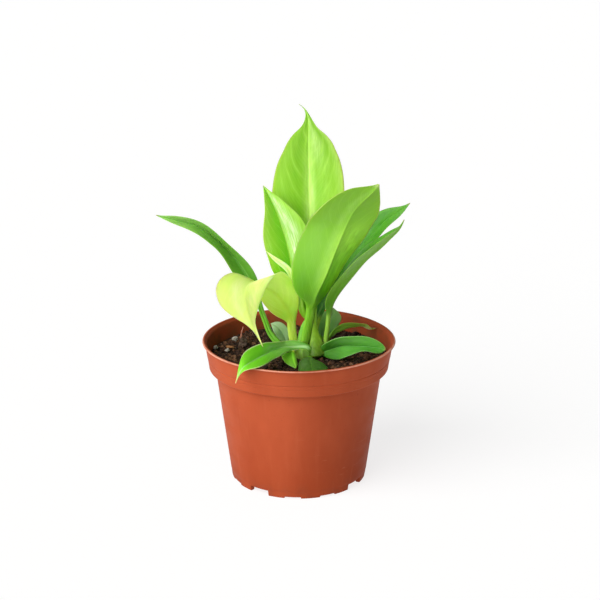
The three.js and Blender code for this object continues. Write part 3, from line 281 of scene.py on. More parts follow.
        "stalk": [(6.4, -6.7, 71.98, 0.9, 0.8), (6.39, -8, 73.49, 1, 0.8)],
        "t": [0, 0.0253, 0.0556, 0.0908, 0.1306, 0.1747, 0.2226, 0.2739, 0.328, 0.3841, 0.4417, 0.5, 0.5583, 0.6159, 0.672, 0.7261, 0.7774, 0.8253, 0.8694, 0.9092, 0.9444, 0.9747, 1],
        "blade": [
            (5.94, -9.4, 75.04, 4.74, -10.4, 74.71, 7.04, -8.2, 74.84),
            (5.47, -9.69, 76.18, 4.17, -10.76, 75.55, 6.82, -8.35, 76.33),
            (4.63, -9.82, 76.97, 3.49, -10.91, 76.15, 5.91, -8.33, 77.63),
            (3.34, -9.92, 77.48, 2.52, -11.01, 76.62, 4.1, -8.2, 78.81),
            (1.6, -10.1, 77.66, 1, -11.15, 76.9, 1.99, -8.07, 79.76),
            (-0.53, -10.51, 77.76, -1.06, -11.6, 76.84, -0.28, -8.12, 80.52),
            (-2.93, -11.35, 77.94, -3.36, -13.17, 76.73, -2.64, -8.4, 80.97),
            (-5.38, -12.87, 78.4, -5.48, -17.36, 77.45, -4.95, -8.8, 81.03),
            (-7.83, -14.99, 79.01, -7.44, -22.78, 78.35, -7.28, -10.98, 81.51),
            (-10.19, -17.59, 79.6, -9.35, -27.9, 79, -9.65, -16.06, 82.91),
            (-12.28, -20.54, 80.08, -11.51, -32.27, 79.49, -12.03, -20.13, 84.14),
            (-14.34, -24.34, 80.49, -13.68, -36.68, 79.86, -14.55, -23.09, 85.06),
            (-16.58, -29.43, 80.81, -15.66, -41.69, 80.12, -17.35, -25.49, 85.71),
            (-19.01, -34.06, 80.95, -17.76, -45.94, 80.29, -20.31, -28.57, 86.04),
            (-21.53, -38.04, 80.99, -19.97, -49.06, 80.38, -23.2, -32.23, 86.17),
            (-23.96, -41.98, 80.96, -22.14, -50.83, 80.36, -25.6, -35.3, 86.05),
            (-26.2, -45.51, 80.83, -24.24, -51.73, 80.24, -27.55, -37.97, 85.6),
            (-28.07, -47.98, 80.29, -26.27, -51.73, 79.86, -29.1, -40.93, 84.71),
            (-29.56, -49.31, 79, -28.15, -51.05, 78.92, -30.27, -43.96, 83.06),
            (-30.66, -49.23, 77.18, -29.73, -49.77, 77.21, -31.04, -46.47, 80.47),
            (-31.51, -48.49, 75.02, -31, -48.38, 74.96, -31.65, -47.88, 77.24),
            (-32.24, -47.8, 72.9, -31.98, -47.56, 72.83, -32.3, -48.02, 74.06),
            (-32.89, -47.2, 70.8, -32.73, -47.2, 70.8, -33.04, -47.31, 70.9)
        ]},
    "leaf_low_right": {"upper": 1,
        "stalk": [(8.71, -5.4, 72.32, 1.2, 1), (10.35, -5.2, 71.84, 1.3, 1.1)],
        "t": [0, 0.0316, 0.0706, 0.1168, 0.1696, 0.2282, 0.2917, 0.3589, 0.4288, 0.5, 0.5712, 0.6411, 0.7083, 0.7718, 0.8304, 0.8832, 0.9294, 0.9684, 1],
        "blade": [
            (11.67, -5, 71.71, 11.43, -4.99, 72.01, 11.68, -5.3, 71.47),
            (12.54, -5.56, 72.42, 11.68, -5.66, 73.4, 12.62, -6.54, 71.55),
            (13.63, -6.25, 73.28, 11.88, -6.72, 75.23, 13.87, -8.17, 71.42),
            (14.99, -7.03, 74.24, 12.41, -8.23, 77.18, 15.42, -9.86, 71.25),
            (16.63, -7.87, 75.24, 13.47, -9.95, 79, 17.19, -11.44, 71.2),
            (18.53, -8.76, 76.25, 15.02, -11.6, 80.67, 19.1, -12.88, 71.36),
            (20.64, -9.7, 77.25, 16.97, -12.93, 82.27, 21.04, -14.31, 71.79),
            (22.93, -10.7, 78.18, 19.5, -14.02, 83.82, 22.66, -15.88, 72.64),
            (25.4, -11.76, 78.87, 22.77, -15.02, 85.07, 24.07, -17.39, 73.8),
            (27.99, -12.83, 79.24, 26.18, -15.8, 85.65, 26.03, -18.63, 75.15),
            (30.61, -13.88, 79.44, 29.24, -16.23, 85.96, 28.45, -19.88, 76.59),
            (33.2, -14.87, 79.63, 32.13, -16.39, 86.13, 31, -21, 78.15),
            (35.7, -15.79, 79.8, 35.04, -16.68, 86.13, 33.6, -21.78, 79.26),
            (38.09, -16.61, 79.89, 37.78, -17.19, 85.75, 36.24, -22.18, 79.5),
            (40.3, -17.33, 79.9, 40.21, -17.69, 85.06, 38.76, -22.17, 78.93),
            (42.3, -17.95, 79.88, 42.32, -18.16, 84.15, 41.11, -21.72, 78.18),
            (44.05, -18.49, 79.84, 44.11, -18.6, 83.09, 43.25, -20.95, 77.82),
            (45.54, -18.94, 79.79, 45.58, -18.99, 81.81, 45.14, -20.1, 78.18),
            (46.74, -19.3, 79.75, 46.75, -19.31, 80.21, 46.67, -19.47, 79.34)
        ]},
    "leaf_curled_back_right": {"upper": 1,
        "stalk": [(13.63, 1.2, 71.81, 1.1, 1), (15.06, 2, 75.62, 1, 0.9)],
        "t": [0, 0.0316, 0.0706, 0.1168, 0.1696, 0.2282, 0.2917, 0.3589, 0.4288, 0.5, 0.5712, 0.6411, 0.7083, 0.7718, 0.8304, 0.8832, 0.9294, 0.9684, 1],
        "blade": [
            (16.66, 3.2, 78.36, 16.65, 3.06, 78.43, 16.78, 3.24, 78.25),
            (17.3, 3.57, 79.18, 17.22, 3.09, 79.46, 17.68, 3.72, 78.8),
            (18.11, 4.07, 80.15, 17.96, 3.15, 80.82, 18.82, 4.4, 79.32),
            (19.17, 4.76, 81.15, 19.05, 3.51, 82.38, 19.99, 5.25, 79.68),
            (20.5, 5.7, 82, 20.58, 4.32, 83.82, 21.13, 6.28, 79.88),
            (22.08, 6.85, 82.59, 22.46, 5.47, 84.89, 22.3, 7.49, 79.98),
            (23.86, 8.12, 82.89, 24.61, 6.76, 85.43, 23.57, 8.88, 80.04),
            (25.76, 9.5, 82.95, 26.91, 7.99, 85.41, 24.98, 10.5, 80.13),
            (27.7, 10.97, 82.85, 29.24, 9.24, 85.02, 26.48, 12.22, 80.2),
            (29.65, 12.49, 82.57, 31.44, 10.64, 84.43, 28.12, 13.86, 80.17),
            (31.58, 13.98, 82.14, 33.44, 12.07, 83.78, 29.93, 15.47, 79.96),
            (33.5, 15.43, 81.71, 35.19, 13.51, 83.08, 31.96, 16.98, 79.81),
            (35.38, 16.77, 81.31, 36.88, 15.04, 82.42, 33.97, 18.18, 79.73),
            (37.11, 17.92, 80.57, 38.5, 16.58, 81.43, 35.71, 18.92, 79.37),
            (38.54, 18.74, 79.36, 39.71, 17.77, 80.08, 37.33, 19.35, 78.39),
            (39.89, 19.4, 78.3, 40.6, 18.72, 79, 39.2, 19.75, 77.38),
            (41.29, 20.03, 77.84, 41.54, 19.63, 78.35, 41.11, 20.2, 77.19),
            (42.53, 20.57, 77.76, 42.6, 20.41, 78.01, 42.52, 20.61, 77.47),
            (43.55, 21, 77.79, 43.56, 20.97, 77.85, 43.55, 21, 77.73)
        ]},
    "leaf_small_back_right": {"upper": 1,
        "stalk": [(10.9, 4, 71.39, 1.1, 1), (11.94, 7.6, 73.64, 1.1, 0.9)],
        "t": [0, 0.0502, 0.1168, 0.1982, 0.2917, 0.3936, 0.5, 0.6064, 0.7083, 0.8018, 0.8832, 0.9498, 1],
        "blade": [
            (12.7, 11, 75.98, 12.39, 11.06, 76.16, 13.01, 10.9, 75.84),
            (13.13, 11.68, 76.49, 11.56, 11.97, 77.43, 14.77, 11.16, 75.77),
            (13.71, 12.57, 77.17, 10.43, 13.15, 79.1, 17.12, 11.53, 75.71),
            (14.39, 13.63, 78.06, 9.64, 14.35, 80.73, 19.32, 12.22, 76.02),
            (15.15, 14.77, 79.18, 9.46, 15.41, 82.09, 20.94, 13.3, 76.97),
            (15.92, 15.9, 80.55, 9.99, 16.4, 83.34, 21.81, 14.53, 78.43),
            (16.71, 16.97, 82.06, 11.08, 17.41, 84.65, 22.19, 15.72, 80.1),
            (17.52, 17.99, 83.6, 12.36, 18.45, 86.08, 22.48, 16.76, 81.72),
            (18.31, 18.95, 85.08, 13.04, 19.37, 87.53, 23.67, 17.66, 83.15),
            (18.94, 19.84, 86.47, 14.26, 19.93, 88.12, 23.84, 18.98, 85.24),
            (19.27, 20.64, 87.75, 16.23, 20.42, 88.34, 22.43, 20.39, 87.44),
            (19.35, 21.3, 88.82, 18.19, 21.15, 88.94, 20.55, 21.27, 88.81),
            (19.36, 21.8, 89.63, 19.21, 21.78, 89.64, 19.5, 21.8, 89.63)
        ]},
    "leaf_small_back_left": {"upper": 1,
        "stalk": [(-3.71, 1.4, 70.56, 1.1, 0.9), (-5.04, 3.2, 72.56, 1, 0.9)],
        "t": [0, 0.0502, 0.1168, 0.1982, 0.2917, 0.3936, 0.5, 0.6064, 0.7083, 0.8018, 0.8832, 0.9498, 1],
        "blade": [
            (-6.49, 5, 74.56, -6.69, 4.91, 74.56, -6.32, 4.96, 74.69),
            (-6.76, 5.54, 75.07, -7.75, 5.06, 75.05, -5.9, 5.34, 75.73),
            (-7.12, 6.25, 75.75, -9.16, 5.23, 75.7, -5.37, 5.82, 77.13),
            (-7.59, 7.09, 76.59, -10.45, 5.56, 76.45, -5.11, 6.43, 78.6),
            (-8.16, 7.99, 77.6, -11.51, 6, 77.27, -5.23, 7.13, 80.05),
            (-8.87, 8.87, 78.73, -12.37, 6.52, 78.13, -5.77, 7.91, 81.52),
            (-9.73, 9.72, 79.89, -13.02, 7.18, 79.02, -6.89, 8.86, 82.93),
            (-10.75, 10.55, 80.92, -13.68, 8.06, 79.66, -8.41, 10.07, 84.15),
            (-11.89, 11.35, 81.7, -14.18, 9.12, 80.29, -10.24, 11.24, 84.72),
            (-13.04, 12.08, 82.26, -14.6, 10.34, 80.99, -12.01, 12.15, 84.65),
            (-14.1, 12.68, 82.64, -14.98, 11.57, 81.75, -13.55, 12.8, 84.19),
            (-15, 13.15, 82.9, -15.33, 12.72, 82.52, -14.8, 13.21, 83.52),
            (-15.69, 13.5, 83.08, -15.73, 13.44, 83.03, -15.66, 13.51, 83.16)
        ]},
    "leaf_small_front": {"upper": -1,
        "stalk": [(5.72, -10.4, 72.22, 0.9, 0.7)],
        "t": [0, 0.042, 0.0962, 0.1617, 0.237, 0.3201, 0.4087, 0.5, 0.5913, 0.6799, 0.763, 0.8383, 0.9038, 0.958, 1],
        "blade": [
            (5.93, -11.6, 72.14, 5.06, -11.8, 72.1, 6.91, -11.6, 72.14),
            (5.98, -12.67, 72.33, 4.3, -12.63, 72.33, 7.34, -12.52, 72.15),
            (6.05, -14.08, 72.55, 3.41, -13.78, 72.59, 7.95, -13.75, 72.18),
            (6.14, -15.82, 72.8, 2.52, -15.29, 72.84, 8.78, -15.28, 72.26),
            (6.24, -17.87, 73.08, 1.67, -17.23, 73.09, 9.91, -17.14, 72.54),
            (6.36, -20.17, 73.34, 0.92, -19.55, 73.27, 11.23, -19.25, 72.87),
            (6.49, -22.61, 73.49, 0.36, -22.13, 73.26, 12.57, -21.47, 72.89),
            (6.61, -25.12, 73.59, -0.06, -24.91, 73.11, 13.86, -23.75, 72.78),
            (6.76, -27.63, 73.59, -0.14, -27.59, 72.88, 14.77, -26.01, 72.66),
            (6.92, -30.04, 73.44, -0.14, -30.07, 72.52, 15.46, -28.14, 72.54),
            (7.1, -32.38, 73.25, -0.07, -32.34, 72.23, 15.62, -30.39, 72.37),
            (7.29, -34.63, 73.04, 0.88, -34.29, 72.04, 14.48, -32.77, 72.08),
            (7.47, -36.61, 72.81, 2.49, -36.14, 71.98, 12.69, -35.17, 71.94),
            (7.63, -38.24, 72.58, 4.9, -37.94, 72.14, 10.4, -37.49, 72.13),
            (7.75, -39.5, 72.39, 7.54, -39.5, 72.39, 8.01, -39.5, 72.44)
        ]},
    "sheath_front": {"upper": -1,
        "stalk": [],
        "t": [0, 0.0815, 0.1982, 0.3418, 0.5, 0.6582, 0.8018, 0.9185, 1],
        "blade": [
            (2.35, -9.8, 70.32, -0.82, -7.9, 69.86, 4.97, -8.6, 69.88),
            (2.32, -10.09, 70.87, -1.23, -7.92, 70.29, 5.27, -8.77, 70.38),
            (2.28, -10.49, 71.66, -1.72, -8.01, 70.97, 5.63, -9.03, 71.09),
            (2.24, -10.97, 72.67, -2.11, -8.19, 71.89, 5.83, -9.38, 71.98),
            (2.17, -11.49, 73.82, -2.33, -8.61, 73.05, 5.83, -9.76, 72.95),
            (2.12, -11.98, 75.01, -2.44, -9.37, 74.32, 5.83, -10.24, 73.96),
            (2.12, -12.45, 76.17, -2.31, -10.4, 75.44, 5.51, -11.12, 74.98),
            (2.12, -12.7, 77.03, -1.77, -11.59, 76.4, 4.73, -11.99, 75.97),
            (2.23, -12.7, 77.38, 0.17, -12.5, 77.2, 3.96, -12.3, 76.9)
        ]},
    "leaf_small_front_left": {"upper": -1,
        "stalk": [(-4.39, -11.5, 75.68, 1, 0.8)],
        "t": [0, 0.0502, 0.1168, 0.1982, 0.2917, 0.3936, 0.5, 0.6064, 0.7083, 0.8018, 0.8832, 0.9498, 1],
        "blade": [
            (-4.06, -12.8, 75.23, -5.36, -13.4, 75.33, -2.87, -12.8, 75.46),
            (-4.03, -13.25, 75.04, -6.57, -14.05, 75.33, -2.61, -13.31, 75.31),
            (-3.98, -13.87, 74.79, -7.92, -14.94, 75.3, -2.3, -13.99, 75.08),
            (-3.89, -14.67, 74.47, -8.98, -16.07, 75.24, -1.96, -14.85, 74.78),
            (-3.78, -15.64, 74.09, -9.16, -17.43, 75.07, -1.65, -15.85, 74.37),
            (-3.61, -16.77, 73.67, -8.74, -19.04, 74.45, -1.37, -16.98, 73.85),
            (-3.39, -18, 73.22, -8.1, -20.6, 73.72, -1.12, -18.2, 73.29),
            (-3.1, -19.24, 72.73, -7.39, -21.97, 73.19, -0.88, -19.46, 72.79),
            (-2.77, -20.48, 72.24, -6.48, -23.07, 72.69, -0.71, -20.69, 72.31),
            (-2.43, -21.67, 71.76, -5.38, -23.72, 72.13, -0.72, -21.83, 71.84),
            (-2.09, -22.76, 71.32, -4.07, -24.15, 71.55, -0.87, -22.84, 71.4),
            (-1.78, -23.69, 70.95, -2.8, -24.4, 71.01, -1.07, -23.67, 71.03),
            (-1.54, -24.4, 70.66, -1.75, -24.5, 70.59, -1.27, -24.3, 70.74)
        ]},
}

# ---- small helpers -----------------------------------------------------------
rng = random.Random(7)


def norm(v):
    v = np.asarray(v, float)
    return v / np.maximum(np.linalg.norm(v, axis=-1, keepdims=True), 1e-9)


def smooth01(x):
    x = np.clip(x, 0.0, 1.0)
    return x * x * (3 - 2 * x)


def hermite(t, p, q):
    """Smooth curve through p at t, read at q."""
    t, p, q = np.asarray(t, float), np.asarray(p, float), np.asarray(q, float)
    m = np.zeros_like(p)
    h = np.diff(t)[:, None]
    d = np.diff(p, axis=0) / h
    m[0], m[-1] = d[0], d[-1]
    m[1:-1] = (d[:-1] * h[1:] + d[1:] * h[:-1]) / (h[1:] + h[:-1])
    i = np.clip(np.searchsorted(t, q, side="right") - 1, 0, len(t) - 2)
    hh = (t[i + 1] - t[i])[:, None]
    u = ((q - t[i])[:, None]) / hh
    return (
        p[i] * (1 + 2 * u) * (1 - u) ** 2
        + m[i] * hh * u * (1 - u) ** 2
        + p[i + 1] * u * u * (3 - 2 * u)
        + m[i + 1] * hh * u * u * (u - 1)
    )


def fract(x):
    return x - np.floor(x)


def new_object(name, verts, faces, mats, smooth=True, mat_index=None, uvs=None):
    """verts in millimetres. uvs: {name: array of (n loops, 2)}."""
    me = bpy.data.meshes.new(name)
    me.from_pydata([tuple(v) for v in np.asarray(verts) * MM], [], faces)
    for m in mats:
        me.materials.append(m)
    if mat_index is not None:
        me.polygons.foreach_set("material_index", np.asarray(mat_index, dtype=np.int32))
    me.polygons.foreach_set("use_smooth", np.full(len(me.polygons), smooth, dtype=bool))
    if uvs:
        for key, data in uvs.items():
            layer = me.uv_layers.new(name=key)
            layer.data.foreach_set("uv", np.asarray(data, dtype=np.float32).ravel())
    me.update()
    ob = bpy.data.objects.new(name, me)
    bpy.context.scene.collection.objects.link(ob)
    return ob


# ---- node helpers ------------------------------------------------------------
class Nodes:
    def __init__(self, name):
        self.mat = bpy.data.materials.new(name)
        self.mat.use_nodes = True
        self.nt = self.mat.node_tree
        self.nt.nodes.clear()
        self.out = self.nt.nodes.new("ShaderNodeOutputMaterial")
        self.bsdf = self.nt.nodes.new("ShaderNodeBsdfPrincipled")
        self.nt.links.new(self.bsdf.outputs[0], self.out.inputs[0])

    def node(self, kind, **props):
        n = self.nt.nodes.new(kind)
        for k, v in props.items():
            setattr(n, k, v)
        return n

    def link(self, a, b):
        self.nt.links.new(a, b)

    def put(self, socket, value):
        if isinstance(value, bpy.types.NodeSocket):
            self.nt.links.new(value, socket)
        else:
            socket.default_value = value

    def math(self, op, a, b=0.0, c=None, clamp=False):
        n = self.node("ShaderNodeMath", operation=op, use_clamp=clamp)
        self.put(n.inputs[0], a)
        self.put(n.inputs[1], b)
        if c is not None:
            self.put(n.inputs[2], c)
        return n.outputs[0]

    def ramp(self, x, lo, hi, a=0.0, b=1.0, kind="SMOOTHSTEP"):
        n = self.node("ShaderNodeMapRange", interpolation_type=kind)
        self.put(n.inputs["Value"], x)
        n.inputs["From Min"].default_value = lo
        n.inputs["From Max"].default_value = hi
        n.inputs["To Min"].default_value = a
        n.inputs["To Max"].default_value = b
        return n.outputs[0]

    def mix(self, f, a, b, blend="MIX"):
        n = self.node("ShaderNodeMix", data_type="RGBA", blend_type=blend)
        n.clamp_result = True
        self.put(n.inputs[0], f)
        self.put(n.inputs[6], a)
        self.put(n.inputs[7], b)
        return n.outputs[2]

    def uv(self, name):
        n = self.node("ShaderNodeUVMap", uv_map=name)
        s = self.node("ShaderNodeSeparateXYZ")
        self.link(n.outputs[0], s.inputs[0])
        return s.outputs[0], s.outputs[1], n.outputs[0]

    def noise(self, vec, scale, detail=2.0, rough=0.5, dims="3D"):
        n = self.node("ShaderNodeTexNoise", noise_dimensions=dims)
        if vec is not None:
            self.put(n.inputs["Vector"], vec)
        n.inputs["Scale"].default_value = scale
        n.inputs["Detail"].default_value = detail
        n.inputs["Roughness"].default_value = rough
        return n.outputs[0]

    def bump(self, height, strength, distance, normal=None):
        n = self.node("ShaderNodeBump")
        n.inputs["Strength"].default_value = strength
        n.inputs["Distance"].default_value = distance
        self.put(n.inputs["Height"], height)
        if normal is not None:
            self.link(normal, n.inputs["Normal"])
        return n.outputs[0]

    def coords(self, scale=(1, 1, 1)):
        c = self.node("ShaderNodeTexCoord")
        m = self.node("ShaderNodeMapping")
        m.inputs["Scale"].default_value = scale
        self.link(c.outputs["Object"], m.inputs["Vector"])
        return m.outputs[0]


def lin(c):
    """sRGB 0-255 to linear."""
    out = []
    for v in c:
        v = v / 255.0
        out.append(v / 12.92 if v <= 0.04045 else ((v + 0.055) / 1.055) ** 2.4)
    return (*out, 1.0)


# ---- leaf material -----------------------------------------------------------
def leaf_material(name, p, under):
    """p: colours and vein numbers. UV map 'span' is (across -1..1, along; below 0 on the
    stalk), 'mm' is (distance from the midrib, distance along) in centimetres."""
    n = Nodes(name)
    sig, v, _ = n.uv("span")
    d, s, vec = n.uv("mm")
    asig = n.math("ABSOLUTE", sig)
    ad = n.math("ABSOLUTE", d)
    side = "under" if under else "upper"
    stops = p[side]
    # colour along the blade: (share of the length, colour)
    col = n.mix(n.ramp(v, stops[0][0], stops[1][0]), lin(stops[0][1]), lin(stops[1][1]))
    for (v0, c0), (v1, c1) in zip(stops[1:], stops[2:]):
        col = n.mix(n.ramp(v, v0, v1), col, lin(c1))
    # cloudy variation, drawn out along the veins
    drift = n_stretch(n, vec, 1.3, 0.45)
    streaks = n.ramp(n.noise(n_stretch(n, vec, 7.0, 0.5), 2.2, 2.0, 0.6), 0.36, 0.62, 1.0 - p.get("streak", 0.3), 1.0)
    big = n.noise(drift, 1.6, 3.0, 0.55)
    col = n.mix(n.ramp(big, 0.40, 0.68, 0.0, p.get("cloud", 0.35)), col, lin(p[side + "_shade"]))
    # broad soft bands, partly the blade's own paler and darker tone and partly painted highlight, sheen and shade:
    # (side of the midrib, centre, drift with length, half width, v0, v1, strength, colour)
    for sd, c0, c1, w, v0, v1, k, colour in p.get(side + "_bands", []):
        at = n.math("MULTIPLY", sig, float(sd)) if sd else asig
        off = n.math("ABSOLUTE", n.math("SUBTRACT", n.math("SUBTRACT", at, c0), n.math("MULTIPLY", v, c1)))
        g = n.ramp(off, 0.0, w, 1.0, 0.0)
        e = 0.12
        win = n.math("MULTIPLY", n.ramp(v, v0 - e, v0 + e), n.ramp(v, v1 - e, v1 + e, 1.0, 0.0))
        soft = n.ramp(n.noise(drift, 3.0, 2.0), 0.2, 0.75, 0.55, 1.0)
        col = n.mix(n.math("MULTIPLY", n.math("MULTIPLY", g, win), n.math("MULTIPLY", n.math("MULTIPLY", soft, streaks), k)), col, lin(colour))
    # side veins leave the midrib at a slant, then swing up along the blade
    bend = n.math("MULTIPLY", n.math("MULTIPLY", asig, n.math("MULTIPLY", asig, asig)), p.get("bend", 1.6))
    run = n.math("ADD", n.math("MULTIPLY", ad, p.get("slant", 1.1)), bend)
    wob = n.math("MULTIPLY", n.math("SUBTRACT", n.noise(vec, 0.9, 1.0), 0.5), 0.5)
    lr = n.math("MULTIPLY", n.math("SIGN", d), p.get("offset", 0.17))
    phase = n.math("DIVIDE", n.math("ADD", n.math("ADD", n.math("SUBTRACT", s, run), wob), lr), p.get("spacing", 0.62))
    tri = n.math("ABSOLUTE", n.math("SUBTRACT", n.math("FRACT", phase), 0.5))
    vein = n.ramp(tri, 0.0, p.get("vein_w", 0.16), 1.0, 0.0)
    strong = n.ramp(n.noise(drift, 1.1, 1.0), 0.38, 0.62, 0.25, 1.0)
    tri2 = n.math("ABSOLUTE", n.math("SUBTRACT", n.math("FRACT", n.math("MULTIPLY", phase, 5.0)), 0.5))
    fine = n.ramp(tri2, 0.05, 0.45, 1.0, 0.0)
    inner = n.math("MULTIPLY", n.ramp(asig, 0.75, 1.0, 1.0, 0.0), n.ramp(v, 0.0, 0.10))
    vein = n.math("MULTIPLY", vein, n.math("MULTIPLY", inner, strong))
    fine = n.math("MULTIPLY", fine, inner)
    col = n.mix(n.math("MULTIPLY", vein, p.get("vein_k", 0.30)), col, lin(p["vein"]))
    col = n.mix(n.math("MULTIPLY", fine, p.get("fine_k", 0.10)), col, lin(p["vein"]))
    # midrib, broad at the root and a thread at the tip
    half = n.ramp(v, 0.0, 0.75, p.get("rib_w0", 0.16), p.get("rib_w1", 0.03), "LINEAR")
    rib = n.ramp(n.math("DIVIDE", ad, half), p.get("rib_in", 0.25), 1.3, 1.0, 0.0)
    ribk = n.ramp(v, 0.0, 1.0, p.get("rib_k", 0.8), p.get("rib_k1", 0.25), "LINEAR")
    col = n.mix(n.math("MULTIPLY", rib, ribk), col, lin(p.get(side + "_rib", p["rib"])))
    # thin margin
    edge = n.math("MULTIPLY", n.ramp(asig, p.get("edge_at", 0.955), 0.995), n.ramp(v, 0.0, 0.08))
    col = n.mix(n.math("MULTIPLY", edge, p.get("edge_k", 0.5)), col, lin(p["edge"]))
    # drawn-out tip dries to a pale brown
    if p.get("tip_k", 0.6) > 0:
        dry = n.ramp(v, p.get("tip_at", 0.97), 1.0)
        col = n.mix(n.math("MULTIPLY", dry, p.get("tip_k", 0.6)), col, lin(p.get("tip", (170, 150, 90))))
    # stalk: faint lengthwise ridges
    stalk = n.ramp(v, -0.01, p.get("stalk_in", 0.06), 1.0, 0.0)
    ridge = n.noise(n_stretch(n, vec, 9.0, 0.6), 2.2, 2.0)
    scol = n.mix(n.ramp(ridge, 0.3, 0.75), lin(p["stalk"]), lin(p.get("stalk_hi", p["stalk"])))
    scol = n.mix(n.ramp(s, p.get("low0", -3.2), p.get("low1", -1.2), 1.0, 0.0), scol, lin(p.get("stalk_low", p["stalk"])))
    col = n.mix(stalk, col, scol)
    n.link(col, n.bsdf.inputs["Base Color"])
    # painted glow: the blade emits light to stand in for light coming through a thin young blade
    glow = None
    for sd, c0, w, v0, v1, k in p.get(side + "_glow", []):
        at = n.math("MULTIPLY", sig, float(sd)) if sd else asig
        g = n.math("MULTIPLY", n.ramp(n.math("ABSOLUTE", n.math("SUBTRACT", at, c0)), 0.0, w, 1.0, 0.0), k)
        g = n.math("MULTIPLY", g, n.math("MULTIPLY", n.ramp(v, v0 - 0.12, v0 + 0.12), n.ramp(v, v1 - 0.12, v1 + 0.12, 1.0, 0.0)))
        glow = g if glow is None else n.math("ADD", glow, g)
    if glow is not None:
        n.link(col, n.bsdf.inputs["Emission Color"])
        n.link(glow, n.bsdf.inputs["Emission Strength"])
    # relief: cells, fine veins
    cells = n.noise(vec, 9.0, 1.0, 0.5)
    h = n.math("MULTIPLY", cells, 0.10)
    h = n.math("ADD", h, n.math("MULTIPLY", fine, -0.18 if not under else 0.14))
    h = n.math("ADD", h, n.math("MULTIPLY", vein, -0.35 if not under else 0.3))
    n.link(n.bump(h, 0.30, 0.00022), n.bsdf.inputs["Normal"])
    rough = p.get("rough", 0.42) + (0.08 if under else 0.0)
    n.link(n.ramp(n.noise(vec, 3.0, 3.0), 0.3, 0.7, rough - 0.05, rough + 0.07), n.bsdf.inputs["Roughness"])
    b = n.bsdf.inputs
    b["Subsurface Weight"].default_value = p.get("sss", 0.6)
    b["Subsurface Radius"].default_value = (0.8, 1.0, 0.2)
    b["Subsurface Scale"].default_value = 0.0016
    b["IOR"].default_value = 1.40
    b["Specular IOR Level"].default_value = p.get("spec", 0.25)
    return n.mat


def n_stretch(n, vec, x, y):
    m = n.node("ShaderNodeMapping")
    m.inputs["Scale"].default_value = (x, y, 1.0)
    n.link(vec, m.inputs["Vector"])
    return m.outputs[0]


